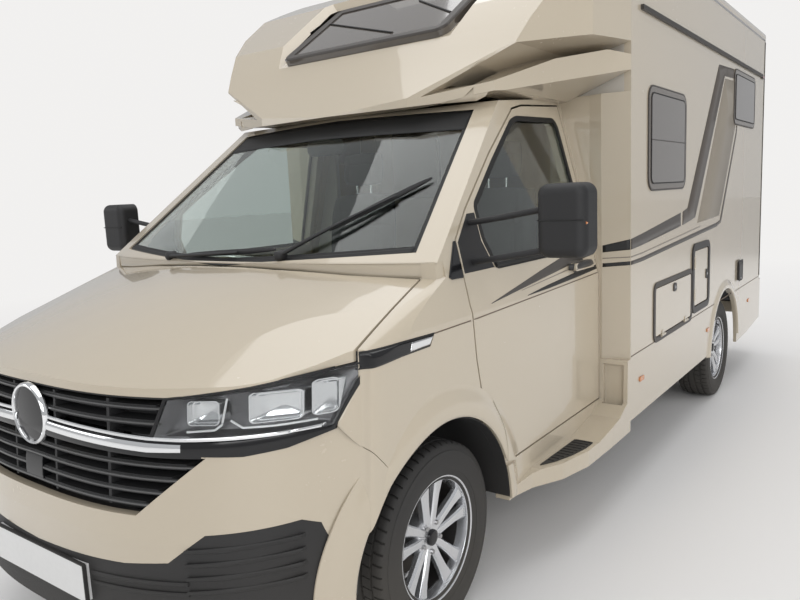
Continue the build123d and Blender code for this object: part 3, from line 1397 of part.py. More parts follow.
# Half of the tyre's section: (distance from its middle plane, radius)
TYRE_SECTION = [
    (RIM_WIDTH / 2 - FLANGE - FIT, BEAD_RADIUS + FIT),
    (RIM_WIDTH / 2 - FLANGE - FIT, FLANGE_RADIUS + FIT),
    (TYRE_WIDTH / 2 - 6, FLANGE_RADIUS + 12),
    (TYRE_WIDTH / 2, 268),
    (TYRE_WIDTH / 2 - 5, 312),
    (TYRE_WIDTH / 2 - 24, TYRE_RADIUS - 6),
    (TYRE_WIDTH / 2 - 42, TYRE_RADIUS),
]
RIM_SECTION = [
    (RIM_WIDTH / 2, FLANGE_RADIUS),
    (RIM_WIDTH / 2 - FLANGE, FLANGE_RADIUS),
    (RIM_WIDTH / 2 - FLANGE, BEAD_RADIUS),
]
wheels = {}
for name, side, half_track, behind in WHEELS:
    middle = side * half_track
    axle = Axis((0, at(behind), TYRE_RADIUS), (1, 0, 0))
    with BuildPart() as tyre:
        with BuildSketch(Plane.XZ.offset(-at(behind))):
            with BuildLine():
                half_section = [(middle + x, TYRE_RADIUS + radius) for x, radius in TYRE_SECTION]
                other_half = [(middle - x, TYRE_RADIUS + radius) for x, radius in reversed(TYRE_SECTION)]
                Polyline(*half_section, *other_half, close=True)
            make_face()
        revolve(axis=axle)
    with BuildPart() as rim:
        with BuildSketch(Plane.XZ.offset(-at(behind))):
            with BuildLine():
                outside = [(middle + x, TYRE_RADIUS + radius) for x, radius in RIM_SECTION]
                other_side = [(middle - x, TYRE_RADIUS + radius) for x, radius in reversed(RIM_SECTION)]
                inside = [
                    (middle - x, TYRE_RADIUS + BEAD_RADIUS - RIM_WALL)
                    for x in (RIM_WIDTH / 2, -RIM_WIDTH / 2)
                ]
                Polyline(*outside, *other_side, *inside, close=True)
            make_face()
        revolve(axis=axle)
        with BuildSketch(Plane.YZ.offset(middle + side * SPOKE_PLANE - (SPOKE_DEPTH if side < 0 else 0))):
            with Locations((at(behind), TYRE_RADIUS)):
                Circle(HUB_RADIUS)
                with PolarLocations(0, 5):
                    for lean in (-1, 1):
                        with Locations(Rotation(0, 0, lean * 14)):
                            with Locations(((HUB_RADIUS + BEAD_RADIUS - RIM_WALL) / 2 - 4, lean * 4)):
                                Rectangle(BEAD_RADIUS - RIM_WALL - HUB_RADIUS + 22, 26)
        extrude(amount=SPOKE_DEPTH)
        add(
            drum(
                span(side, half_track + DISC_PLANE, half_track + SPOKE_PLANE + 1),
                behind,
                TYRE_RADIUS,
                HUB_RADIUS - 10,
            ),
        )
        add(
            drum(
                span(side, half_track + DISC_PLANE, half_track + DISC_PLANE + DISC_THICKNESS),
                behind,
                TYRE_RADIUS,
                DISC_RADIUS,
            ),
        )
        with BuildSketch(
            Plane.YZ.offset(middle + side * (SPOKE_PLANE + SPOKE_DEPTH) - (10 if side > 0 else 0))
        ):
            with Locations((at(behind), TYRE_RADIUS)):
                with PolarLocations(STUD_CIRCLE / 2 - 6, STUDS):
                    Circle(STUD_HOLE)
        extrude(amount=10, mode=Mode.SUBTRACT)
        add(
            drum(
                span(side, half_track + DISC_PLANE - 1, half_track + 20 + FIT),
                behind,
                TYRE_RADIUS,
                STUB_RADIUS + FIT,
            ),
            mode=Mode.SUBTRACT,
        )
    wheels[f"tyre_{name}"] = tyre
    wheels[f"rim_{name}"] = rim

# Exhaust and water tank under the floor
EXHAUST_X = -220
EXHAUST_Z = 430
with BuildPart() as exhaust:
    with BuildSketch(Plane.XZ.offset(-at(180))):
        with Locations((EXHAUST_X, EXHAUST_Z)):
            Circle(28)
    extrude(amount=180 - 4560)
    with BuildSketch(Plane.XZ.offset(-at(2050))):
        with Locations((EXHAUST_X, EXHAUST_Z)):
            Ellipse(120, 66)
    extrude(amount=-520)
    for behind in (1000, 1900, 2700, 3800):
        add(block((EXHAUST_X - 8, EXHAUST_X + 8), (behind - 20, behind + 20), (EXHAUST_Z, FRAME_BOTTOM)))
with BuildPart() as water_tank:
    add(block((-60, 370), (2760, 3300), (470, CAB_FLOOR)))
    chamfer(water_tank.edges().filter_by(Axis.Y).group_by(Axis.Z)[0], 40)

# Step fairing from the cab's sill out to the body's skirt
STEP_PLAN = [
    (HALF_CAB, 450), (975, 560), (1045, 700), (1083, 880), (HALF_BODY, 1150), (HALF_BODY, BODY_FRONT),
    (HALF_CAB, BODY_FRONT),
]
STEP_SIDE = [
    (440, SILL_BOTTOM), (450, 375), (600, 402), (1000, 404), (1250, 440), (1354, 486), (1361, 690),
    (BODY_FRONT, 690), (BODY_FRONT, SILL_BOTTOM),
]
STEP_WALL = 20
STEP_HOLLOW = [
    (600, SILL_BOTTOM - 1),
    (600, 380),
    (1000, 382),
    (1250, 418),
    (1334, 462),
    (1341, 668),
    (1379, 668),
    (1379, SILL_BOTTOM - 1),
]
with BuildPart() as cab_steps:
    add(plan_prism(STEP_PLAN, SILL_BOTTOM, 690))
    add(plan_prism([(-x, behind) for x, behind in STEP_PLAN], SILL_BOTTOM, 690))
    add(side_prism(STEP_SIDE, -HALF_BODY, HALF_BODY), mode=Mode.INTERSECT)
    for side in (-1, 1):
        with BuildPart() as hollow:
            add(
                plan_prism(
                    [(side * x, behind) for x, behind in STEP_PLAN], SILL_BOTTOM - 1, 690, grow=-STEP_WALL
                )
            )
            add(side_prism(STEP_HOLLOW, -HALF_BODY, HALF_BODY), mode=Mode.INTERSECT)
        add(hollow.part, mode=Mode.SUBTRACT)

# Blank plate on the lower trim
PLATE = (520, 112)
with BuildPart() as front_plate:
    add(block((-PLATE[0] / 2, PLATE[0] / 2), (-FRONT_OVERHANG, 60 - FRONT_OVERHANG), (380, 380 + PLATE[1])))
    add(nose_outer, mode=Mode.SUBTRACT)

right_pieces = {}
for name, left in (
    ("cab_door_right", cab_door_left), ("door_glass_right", door_glass_left), ("mirror_right", mirror_left)
):
    with BuildPart() as right:
        mirror(left.part, about=Plane.YZ)
    right_pieces[name] = right

pieces = {
    "bonnet": bonnet,
    "front_wings": front_wings,
    "front_bumper": front_bumper,
    "bumper_trim": bumper_trim,
    "grille": grille,
    "headlamps": headlamps,
    "cab_body": cab_body,
    "windshield": windshield,
    "wipers": wipers,
    "cab_door_left": cab_door_left,
    "door_glass_left": door_glass_left,
    "mirror_left": mirror_left,
    "overcab_hood": overcab_hood,
    "hood_skylight": hood_skylight,
    "side_wall_left": side_wall_left,
    "side_wall_right": side_wall_right,
    "rear_wall": rear_wall,
    "roof": roof,
    "roof_hatches": roof_hatches,
    "bulkhead": bulkhead,
    "pillar_fairings": pillar_fairings,
    "skirts": skirts,
    "rear_bumper": rear_bumper,
    "tail_lamps": tail_lamps,
    "side_rails": side_rails,
    "window_rings": window_rings,
    "window_panes": window_panes,
    "service_flap": service_flap,
    "toilet_flap": toilet_flap,
    "garage_door": garage_door,
    "entry_door": entry_door,
    "entry_door_glass": entry_door_glass,
    "body_floor": body_floor,
    "cab_floor": cab_floor,
    "cab_seats": cab_seats,
    "dashboard": dashboard,
    "steering_wheel": steering_wheel,
    "chassis_frame": chassis_frame,
    "engine": engine,
    "front_subframe": front_subframe,
    "wheel_liners": wheel_liners,
    "rear_axle": rear_axle,
    "exhaust": exhaust,
    "water_tank": water_tank,
    "cab_steps": cab_steps,
    "front_plate": front_plate,
    **right_pieces,
    **knuckles,
    **wheels,
}
os.makedirs("parts", exist_ok=True)
for name, piece in pieces.items():
    piece.part.label = name
    export_step(piece.part, f"parts/{name}.step")
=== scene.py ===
"""Camper van: the visible pieces, their finishes, the light and the camera.

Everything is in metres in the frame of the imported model: +Z is up, the front faces -Y and +X is the left side.
"""

import json
import logging
import math
from dataclasses import dataclass, field
from enum import Enum

import bmesh
import bpy
import numpy as np
from mathutils import Matrix, Vector

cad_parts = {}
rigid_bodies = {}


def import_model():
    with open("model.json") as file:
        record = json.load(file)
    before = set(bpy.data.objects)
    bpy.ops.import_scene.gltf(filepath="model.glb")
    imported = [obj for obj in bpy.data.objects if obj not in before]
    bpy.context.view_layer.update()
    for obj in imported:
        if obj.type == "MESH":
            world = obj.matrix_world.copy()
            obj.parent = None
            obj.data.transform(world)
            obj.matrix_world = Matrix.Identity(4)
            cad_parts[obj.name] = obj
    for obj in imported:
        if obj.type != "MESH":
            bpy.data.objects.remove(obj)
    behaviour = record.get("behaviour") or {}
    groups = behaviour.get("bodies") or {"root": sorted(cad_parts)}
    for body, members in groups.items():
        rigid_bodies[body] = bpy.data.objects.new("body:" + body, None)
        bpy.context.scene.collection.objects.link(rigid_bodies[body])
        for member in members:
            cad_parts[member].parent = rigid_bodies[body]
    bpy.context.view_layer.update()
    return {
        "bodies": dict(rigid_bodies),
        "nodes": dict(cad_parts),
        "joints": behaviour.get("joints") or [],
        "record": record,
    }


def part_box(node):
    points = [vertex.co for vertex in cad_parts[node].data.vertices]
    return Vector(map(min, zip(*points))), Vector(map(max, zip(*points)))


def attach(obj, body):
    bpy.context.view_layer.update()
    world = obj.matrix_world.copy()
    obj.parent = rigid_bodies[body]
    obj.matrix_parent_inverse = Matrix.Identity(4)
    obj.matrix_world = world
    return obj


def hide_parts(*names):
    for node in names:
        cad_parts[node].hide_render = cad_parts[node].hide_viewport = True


LOG = logging.getLogger("camper")
Colour = tuple[float, float, float]
Array = np.ndarray

FRONT_AXLE = -2.026
HALF_CAB = 0.952
HALF_BODY = 1.09
TYRE_RADIUS = 0.339


def at(behind: float) -> float:
    """Y in metres of a place that many millimetres behind the front axle."""
    return FRONT_AXLE + behind / 1000


def cab_side(height: Array, inset: float = 0.0) -> Array:
    """Half width in metres of the cab at heights in millimetres: straight to the waist, then three leaning runs."""
    return np.interp(height, [260, 1100, 1330, 1850, 2000], [952, 952, 900, 765, 725]) / 1000 - inset


def nose_front(x: Array, height: Array, inset: float = 0.0) -> Array:
    """Y of the nose's front face: a superellipse plan of power 2.6 that leans back 8 mm per 100 mm of height."""
    half = HALF_CAB - inset
    share = np.clip(np.abs(x) / half, 0, 1)
    plan = -0.1 - (0.808 - inset) * (1 - share**2.6) ** (1 / 2.6)
    return FRONT_AXLE + plan + 0.08 * np.maximum(height / 1000 - 0.6, 0)


def screen_front(x: Array, height: Array, inset: float = 0.0) -> Array:
    """Y of the windscreen's outside: a parabola across the cab that leans back 1.32 for each unit of height."""
    return at(-116) + x**2 / 5.836 + 1.32 * (height / 1000 - 1.29) + inset * math.hypot(1, 1.32)


class Body(str, Enum):
    """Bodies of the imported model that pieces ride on."""

    ROOT = "root"
    DOOR_LEFT = "cab_door_left"
    DOOR_RIGHT = "cab_door_right"
    BONNET = "bonnet"
    ENTRY = "entry_door"
    GARAGE = "garage_door"
    SERVICE = "service_flap"
    TOILET = "toilet_flap"


@dataclass(frozen=True)
class Finish:
    """One finish: its colour, gloss and the small variation that its surface shows."""

    name: str
    colour: Colour
    roughness: float = 0.5
    slot: str = "black_plastic"
    second: Colour | None = None
    metallic: float = 0.0
    coat: float = 0.0
    transmission: float = 0.0
    ior: float = 1.5
    scale: float = 60.0
    bump: float = 0.05
    spread: float = 0.08
    dust: float = 0.0
    weave: float = 0.0
    plain: bool = False

    def material(self) -> bpy.types.Material:
        """Builds the finish as a node material once, and returns it.

        Returns:
            The material, shared by every piece that asks for this finish.
        """
        known = bpy.data.materials.get(f"finish_{self.name}")
        if known:
            return known
        material = bpy.data.materials.new(f"finish_{self.name}")
        material.use_nodes = True
        tree = material.node_tree
        shader = tree.nodes["Principled BSDF"]
        shader.inputs["Base Color"].default_value = (*self.colour, 1)
        shader.inputs["Roughness"].default_value = self.roughness
        shader.inputs["Metallic"].default_value = self.metallic
        shader.inputs["Coat Weight"].default_value = self.coat
        shader.inputs["Coat Roughness"].default_value = 0.03
        shader.inputs["Transmission Weight"].default_value = self.transmission
        shader.inputs["IOR"].default_value = self.ior
        if self.plain:
            return material
        grain = tree.nodes.new("ShaderNodeGroup")
        grain.node_tree = surface_group()
        grain.inputs["Scale"].default_value = self.scale
        grain.inputs["Weave"].default_value = self.weave
        grain.inputs["Colour"].default_value = (*self.colour, 1)
        grain.inputs["Second"].default_value = (*(self.second or tuple(c * 0.86 for c in self.colour)), 1)
        grain.inputs["Roughness"].default_value = self.roughness
        grain.inputs["Spread"].default_value = self.spread
        grain.inputs["Dust"].default_value = self.dust
        tree.links.new(grain.outputs["Colour"], shader.inputs["Base Color"])
        tree.links.new(grain.outputs["Roughness"], shader.inputs["Roughness"])
        if self.bump:
            bump = tree.nodes.new("ShaderNodeBump")
            bump.inputs["Strength"].default_value = self.bump
            bump.inputs["Distance"].default_value = 0.001
            tree.links.new(grain.outputs["Height"], bump.inputs["Height"])
            tree.links.new(bump.outputs["Normal"], shader.inputs["Normal"])
        return material


def surface_group() -> bpy.types.NodeTree:
    """Node group that gives a finish its mottled colour, uneven gloss, dust near the ground and grain height.

    Returns:
        The group, built once.
    """
    known = bpy.data.node_groups.get("surface_grain")
    if known:
        return known
    group = bpy.data.node_groups.new("surface_grain", "ShaderNodeTree")
    sockets = [
        ("Colour", "INPUT", "NodeSocketColor"),
        ("Second", "INPUT", "NodeSocketColor"),
        ("Scale", "INPUT", "NodeSocketFloat"),
        ("Weave", "INPUT", "NodeSocketFloat"),
        ("Roughness", "INPUT", "NodeSocketFloat"),
        ("Spread", "INPUT", "NodeSocketFloat"),
        ("Dust", "INPUT", "NodeSocketFloat"),
        ("Colour", "OUTPUT", "NodeSocketColor"),
        ("Roughness", "OUTPUT", "NodeSocketFloat"),
        ("Height", "OUTPUT", "NodeSocketFloat"),
    ]
    for name, direction, kind in sockets:
        group.interface.new_socket(name, in_out=direction, socket_type=kind)
    nodes, links = group.nodes, group.links
    source = nodes.new("NodeGroupInput")
    result = nodes.new("NodeGroupOutput")
    place = nodes.new("ShaderNodeTexCoord")
    fine = nodes.new("ShaderNodeTexNoise")
    fine.inputs["Detail"].default_value = 3
    broad = nodes.new("ShaderNodeTexNoise")
    broad.inputs["Scale"].default_value = 2.2
    broad.inputs["Detail"].default_value = 4
    links.new(place.outputs["Object"], fine.inputs["Vector"])
    links.new(place.outputs["Object"], broad.inputs["Vector"])
    links.new(source.outputs["Scale"], fine.inputs["Scale"])
    mixed = math_node(nodes, links, "ADD", fine.outputs["Fac"], broad.outputs["Fac"])
    share = math_node(nodes, links, "MULTIPLY", mixed, 0.5)
    tone = colour_mix(nodes, links, share, source.outputs["Colour"], source.outputs["Second"])
    split = nodes.new("ShaderNodeSeparateXYZ")
    links.new(place.outputs["Object"], split.inputs["Vector"])
    low = nodes.new("ShaderNodeMapRange")
    for key, value in (("From Min", 0.0), ("From Max", 0.75), ("To Min", 1.0), ("To Max", 0.0)):
        low.inputs[key].default_value = value
    links.new(split.outputs["Z"], low.inputs["Value"])
    patchy = math_node(nodes, links, "MULTIPLY", low.outputs["Result"], broad.outputs["Fac"])
    dusty = math_node(nodes, links, "MULTIPLY", patchy, source.outputs["Dust"])
    dust_colour = nodes.new("ShaderNodeRGB")
    dust_colour.outputs[0].default_value = (0.30, 0.26, 0.20, 1)
    final = colour_mix(nodes, links, dusty, tone, dust_colour.outputs[0])
    links.new(final, result.inputs["Colour"])
    wander = math_node(nodes, links, "MULTIPLY", source.outputs["Spread"], share)
    rough = math_node(nodes, links, "ADD", source.outputs["Roughness"], wander)
    rough = math_node(nodes, links, "ADD", rough, dusty)
    links.new(rough, result.inputs["Roughness"])
    warp = nodes.new("ShaderNodeTexWave")
    warp.bands_direction = "X"
    warp.inputs["Scale"].default_value = 260
    weft = nodes.new("ShaderNodeTexWave")
    weft.bands_direction = "Z"
    weft.inputs["Scale"].default_value = 260
    links.new(place.outputs["Object"], warp.inputs["Vector"])
    links.new(place.outputs["Object"], weft.inputs["Vector"])
    cloth = math_node(nodes, links, "ADD", warp.outputs["Fac"], weft.outputs["Fac"])
    cloth = math_node(nodes, links, "MULTIPLY", cloth, source.outputs["Weave"])
    height = math_node(nodes, links, "ADD", fine.outputs["Fac"], cloth)
    links.new(height, result.inputs["Height"])
    return group


def math_node(
    nodes: bpy.types.Nodes, links: bpy.types.NodeLinks, operation: str, first: object, second: object
) -> bpy.types.NodeSocket:
    """Adds a Math node.

    Args:
        nodes: The tree's nodes.
        links: The tree's links.
        operation: The node's operation.
        first: A socket or a number.
        second: A socket or a number.

    Returns:
        The node's output.
    """
    node = nodes.new("ShaderNodeMath")
    node.operation = operation
    for socket, value in zip(node.inputs, (first, second)):
        if isinstance(value, bpy.types.NodeSocket):
            links.new(value, socket)
        else:
            socket.default_value = value
    return node.outputs[0]


def colour_mix(
    nodes: bpy.types.Nodes, links: bpy.types.NodeLinks, share: object, first: object, second: object
) -> bpy.types.NodeSocket:
    """Adds a colour Mix node.

    Args:
        nodes: The tree's nodes.
        links: The tree's links.
        share: Socket that says how much of the second colour shows.
        first: Socket of the first colour.
        second: Socket of the second colour.

    Returns:
        The mixed colour's socket.
    """
    node = nodes.new("ShaderNodeMix")
    node.data_type = "RGBA"
    links.new(share, node.inputs["Factor"])
    links.new(first, node.inputs["A"])
    links.new(second, node.inputs["B"])
    return node.outputs["Result"]


PAINT = Finish(
    "sand", (0.50, 0.435, 0.335), 0.24, "sand_paint", (0.485, 0.42, 0.322), coat=1.0, bump=0.01, spread=0.05
)
BLACK = Finish("grained_black", (0.016, 0.016, 0.017), 0.52, "black_plastic", scale=900, bump=0.35, dust=0.15)
GLOSS_BLACK = Finish("gloss_black", (0.006, 0.006, 0.007), 0.14, "black_plastic", plain=True)
RUBBER = Finish("seal_rubber", (0.010, 0.010, 0.010), 0.6, "black_plastic", scale=300, bump=0.15)
TYRE = Finish("tyre_rubber", (0.02, 0.02, 0.021), 0.66, "tyre", (0.028, 0.027, 0.026), scale=220, bump=0.25, dust=0.22)
ALLOY = Finish(
    "bright_alloy", (0.72, 0.73, 0.75), 0.2, "alloy", (0.66, 0.67, 0.69), 0.85, coat=0.6, bump=0.02, dust=0.05
)
STEEL = Finish("bare_steel", (0.5, 0.5, 0.51), 0.34, "alloy", (0.36, 0.35, 0.34), 1.0, scale=180, bump=0.1)
CAST = Finish(
    "cast_iron", (0.11, 0.11, 0.115), 0.6, "knuckle_iron", (0.16, 0.14, 0.12), 0.6, scale=160, bump=0.4, dust=0.4
)
FRAME_STEEL = Finish("frame_coating", (0.03, 0.03, 0.033), 0.5, "chassis_steel", scale=140, bump=0.2, dust=0.5)
CHROME = Finish("polished_chrome", (0.86, 0.87, 0.88), 0.07, "alloy", metallic=1.0, plain=True)
SATIN = Finish("satin_silver", (0.55, 0.55, 0.56), 0.3, "alloy", metallic=0.9, bump=0.02)
GLASS = Finish("clear_pane", (0.78, 0.85, 0.81), 0.0, "clear_glass", transmission=1.0, ior=1.45, plain=True)
LENS = Finish("lamp_lens", (0.97, 0.98, 0.98), 0.0, "lamp_glass", transmission=1.0, ior=1.3, plain=True)
ACRYLIC = Finish("smoked_acrylic", (0.105, 0.092, 0.080), 0.08, "tinted_acrylic", coat=0.6, plain=True)
LAMP_RED = Finish("red_lens", (0.34, 0.012, 0.012), 0.1, "lamp_red", coat=1.0, plain=True)
LAMP_AMBER = Finish("amber_lens", (0.55, 0.17, 0.02), 0.12, "lamp_red", coat=1.0, plain=True)
STRIPE_DARK = Finish("stripe_graphite", (0.060, 0.052, 0.046), 0.5, "black_plastic", coat=0.15, plain=True)
STRIPE_BLACK = Finish("stripe_black", (0.010, 0.010, 0.010), 0.5, "black_plastic", coat=0.15, plain=True)
STRIPE_TAUPE = Finish("stripe_taupe", (0.19, 0.165, 0.135), 0.5, "black_plastic", coat=0.15, plain=True)
STRIPE_UMBER = Finish("stripe_umber", (0.075, 0.063, 0.052), 0.5, "black_plastic", coat=0.15, plain=True)
FILL_GREY = Finish(
    "fill_grey", (0.30, 0.265, 0.215), 0.5, "black_plastic", (0.20, 0.175, 0.14), scale=420, coat=0.15, bump=0.0
)
BOARD = Finish("lining_board", (0.50, 0.47, 0.42), 0.6, "panel_board", scale=50, bump=0.05)
FLOOR_MAT = Finish("floor_mat", (0.05, 0.05, 0.052), 0.85, "floor_trim", scale=500, bump=0.5)
CLOTH = Finish(
    "seat_cloth", (0.055, 0.055, 0.06), 0.9, "seat_fabric", (0.085, 0.082, 0.08), scale=700, bump=0.5, weave=0.6
)
DASH = Finish("dash_grain", (0.03, 0.03, 0.033), 0.55, "dash_plastic", scale=800, bump=0.3)
TANK = Finish("tank_moulding", (0.17, 0.175, 0.18), 0.5, "tank_plastic", scale=90, bump=0.1, dust=0.4)
RAIL = Finish("rail_bronze", (0.05, 0.045, 0.04), 0.4, "black_plastic", metallic=0.5, bump=0.05)
HATCH = Finish("hatch_white", (0.62, 0.62, 0.61), 0.35, "panel_board", scale=120, bump=0.1, dust=0.1)
SLAT_EDGE = Finish("slat_edge", (0.13, 0.13, 0.13), 0.28, "alloy", metallic=0.6, bump=0.02)
LAMP_BOWL = Finish("lamp_bowl", (0.13, 0.13, 0.135), 0.3, "alloy", (0.10, 0.10, 0.105), 0.8, bump=0.02)
REFLECTOR = Finish("reflector", (0.62, 0.63, 0.64), 0.16, "alloy", metallic=1.0, plain=True)
LIGHT_STRIP = Finish("light_strip", (0.86, 0.87, 0.88), 0.25, "lamp_glass", coat=1.0, plain=True)
LIGHT_COVER = Finish("light_cover", (0.72, 0.72, 0.70), 0.3, "lamp_glass", (0.70, 0.70, 0.68), coat=0.8, bump=0.05)
HANDLE_DARK = Finish("handle_dark", (0.03, 0.028, 0.027), 0.38, "black_plastic", scale=600, bump=0.08)
FRAME_DARK = Finish("frame_dark", (0.05, 0.043, 0.038), 0.42, "black_plastic", scale=500, bump=0.1)
FRAME_BLACK = Finish("frame_black", (0.02, 0.018, 0.017), 0.38, "black_plastic", scale=500, bump=0.1)
RING_TAUPE = Finish("ring_taupe", (0.125, 0.108, 0.092), 0.22, "black_plastic", coat=0.3, plain=True)
# Sand paint darkened to its tone in shade: painted shade for the thin crease lines; the floor edge seams wear it too.
CREASE_SHADE = Finish("crease_shade", (0.13, 0.095, 0.065), 0.5, "sand_paint", plain=True)
SILVERED = Finish("mirror_silver", (0.82, 0.84, 0.85), 0.02, "lamp_glass", metallic=1.0, plain=True)
PLATE = Finish("white_plate", (0.72, 0.72, 0.71), 0.3, "plate_white", coat=0.5, bump=0.02)


class Mesh:
    """Ways to turn arrays of points into finished pieces."""

    @staticmethod
    def piece(
        name: str,
        points: Array,
        faces: list,
        finish: Finish,
        body: str = Body.ROOT,
        bevel: float = 0.0,
        sharp: float = 35.0,
        wall: float = 0.0,
        smooth: int = 0,
    ) -> bpy.types.Object:
        """Makes one piece from points and faces.

        Args:
            name: Name of the piece.
            points: Vertices, one row each, in metres.
            faces: Lists of vertex indices.
            finish: The finish it wears.
            body: The body it rides on.
            bevel: Width of the rounded edges, in metres.
            sharp: Edges sharper than this many degrees stay crisp.
            wall: Thickness that an open surface gets, inwards.
            smooth: Levels of subdivision.

        Returns:
            The new object.
        """
        mesh = bpy.data.meshes.new(name)
        mesh.from_pydata(np.asarray(points, float).tolist(), [], [list(f) for f in faces])
        shape = bmesh.new()
        shape.from_mesh(mesh)
        bmesh.ops.remove_doubles(shape, verts=shape.verts, dist=1e-6)
        bmesh.ops.dissolve_degenerate(shape, edges=shape.edges, dist=1e-7)
        closed = all(len(edge.link_faces) == 2 for edge in shape.edges)
        if closed:
            bmesh.ops.recalc_face_normals(shape, faces=shape.faces)
        shape.to_mesh(mesh)
        shape.free()
        mesh.polygons.foreach_set("use_smooth", np.ones(len(mesh.polygons), bool))
        mesh.set_sharp_from_angle(angle=math.radians(sharp))
        mesh.materials.append(finish.material())
        made = bpy.data.objects.new(name, mesh)
        bpy.context.scene.collection.objects.link(made)
        if smooth:
            rounder = made.modifiers.new("rounder", "SUBSURF")
            rounder.levels = rounder.render_levels = smooth
        if wall:
            thick = made.modifiers.new("wall", "SOLIDIFY")
            thick.thickness = wall
            thick.offset = -1
        if bevel:
            edge = made.modifiers.new("edges", "BEVEL")
            edge.width = bevel
            edge.segments = 3
            edge.limit_method = "ANGLE"
            edge.angle_limit = math.radians(sharp)
            edge.harden_normals = True
        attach(made, str(body.value if isinstance(body, Enum) else body))
        LOG.info("piece %s", name)
        return made

    @staticmethod
    def grid_faces(rows: int, columns: int, round_rows: bool = False, round_columns: bool = False) -> list:
        """Quads of a grid of points.

        Args:
            rows: Number of rows of points.
            columns: Number of points in a row.
            round_rows: The last row joins the first.
            round_columns: The last point of a row joins its first.

        Returns:
            The quads as lists of indices.
        """
        i, j = np.meshgrid(
            np.arange(rows if round_rows else rows - 1), np.arange(columns if round_columns else columns - 1), indexing="ij"
        )
        down, right = (i + 1) % rows, (j + 1) % columns
        quads = np.stack([i * columns + j, down * columns + j, down * columns + right, i * columns + right], -1)
        return quads.reshape(-1, 4).tolist()

    @classmethod
    def surface(cls, name: str, grid: Array, finish: Finish, flip: bool = False, **options: object) -> bpy.types.Object:
        """A surface from a grid of points, rows by columns by three.

        Args:
            name: Name of the piece.
            grid: The points.
            finish: The finish it wears.
            flip: Turns the faces over.
            options: As in piece, and round_rows and round_columns.

        Returns:
            The new object.
        """
        rows, columns = grid.shape[:2]
        faces = cls.grid_faces(rows, columns, options.pop("round_rows", False), options.pop("round_columns", False))
        if flip:
            faces = [face[::-1] for face in faces]
        return cls.piece(name, grid.reshape(-1, 3), faces, finish, **options)

    @classmethod
    def prism(cls, name: str, front: Array, back: Array, finish: Finish, **options: object) -> bpy.types.Object:
        """A solid between two like outlines, point for point.

        Args:
            name: Name of the piece.
            front: Points of one end, in order.
            back: Points of the other end.
            finish: The finish it wears.
            options: As in piece.

        Returns:
            The new object.
        """
        points, faces = cls.prism_data(front, back)
        return cls.piece(name, points, faces, finish, **options)

    @classmethod
    def prism_data(cls, front: Array, back: Array) -> tuple[Array, list]:
        """Points and faces of a solid between two like outlines.

        Args:
            front: Points of one end.
            back: Points of the other end.

        Returns:
            The points and the faces.
        """
        count = len(front)
        faces = cls.grid_faces(2, count, round_columns=True)
        faces += [list(range(count))[::-1], list(range(count, 2 * count))]
        return np.vstack([front, back]), faces

    @classmethod
    def ring(cls, name: str, inner: Array, outer: Array, depth: Array, finish: Finish, **options: object) -> bpy.types.Object:
        """A frame between an inner and an outer outline, carried back by a depth.

        Args:
            name: Name of the piece.
            inner: Points of the inner outline.
            outer: Points of the outer outline, as many.
            depth: Vector from the front to the back.
            finish: The finish it wears.
            options: As in piece.

        Returns:
            The new object.
        """
        grid = np.stack([inner, outer, outer + depth, inner + depth])
        return cls.surface(name, grid, finish, round_rows=True, round_columns=True, **options)

    @classmethod
    def turned(
        cls, name: str, profile: Array, centre: Array, side: float, finish: Finish, turns: int = 96, **options: object
    ) -> bpy.types.Object:
        """A shape turned about an axle that lies across the vehicle.

        Args:
            name: Name of the piece.
            profile: Rows of (distance outwards along the axle, radius), closed.
            centre: Middle of the axle at the profile's zero.
            side: 1 for the left side and -1 for the right.
            finish: The finish it wears.
            turns: Points round the axle.
            options: As in piece.

        Returns:
            The new object.
        """
        turn = np.linspace(0, 2 * np.pi, turns, endpoint=False)
        out, radius = profile[:, 0], profile[:, 1]
        grid = np.stack(
            [
                np.broadcast_to(centre[0] + side * out, (turns, len(out))),
                centre[1] + np.outer(np.cos(turn), radius),
                centre[2] + np.outer(np.sin(turn), radius),
            ],
            -1,
        )
        return cls.surface(name, grid, finish, round_rows=True, round_columns=True, **options)

    @classmethod
    def tube(
        cls, name: str, path: Array, radius: float | Array, finish: Finish, around: int = 12, squash: float = 1.0, **options: object
    ) -> bpy.types.Object:
        """A round bar along a path of points, closed at both ends.

        Each ring lies square to the path, its second direction lying as near to +Z as the path allows.

        Args:
            name: Name of the piece.
            path: The path's points.
            radius: The bar's radius, one number or one for each point.
            finish: The finish it wears.
            around: Points round the bar.
            squash: Height of the bar's section as a share of its width.
            options: As in piece.

        Returns:
            The new object.
        """
        points, faces = cls.tube_data(path, radius, around, squash)
        return cls.piece(name, points, faces, finish, **options)

    @classmethod
    def tube_data(cls, path: Array, radius: float | Array, around: int = 12, squash: float = 1.0) -> tuple[Array, list]:
        """Points and faces of a round bar along a path.

        Args:
            path: The path's points.
            radius: One radius, or one for each point.
            around: Points round the bar.
            squash: Height of the section as a share of its width.

        Returns:
            The points and the faces.
        """
        path = np.asarray(path, float)
        along = np.gradient(path, axis=0)
        along /= np.linalg.norm(along, axis=1, keepdims=True)
        up = np.where(np.abs(along[:, 2:3]) > 0.9, [[0.0, 1.0, 0.0]], [[0.0, 0.0, 1.0]])
        wide = np.cross(along, up)
        wide /= np.linalg.norm(wide, axis=1, keepdims=True)
        tall = np.cross(wide, along)
        turn = np.linspace(0, 2 * np.pi, around, endpoint=False)
        size = np.broadcast_to(np.asarray(radius, float), len(path))[:, None, None]
        ring = np.cos(turn)[None, :, None] * wide[:, None] + squash * np.sin(turn)[None, :, None] * tall[:, None]
        grid = path[:, None] + size * ring
        faces = cls.grid_faces(len(path), around, round_columns=True)
        last = (len(path) - 1) * around
        faces += [list(range(around))[::-1], [last + k for k in range(around)]]
        return grid.reshape(-1, 3), faces

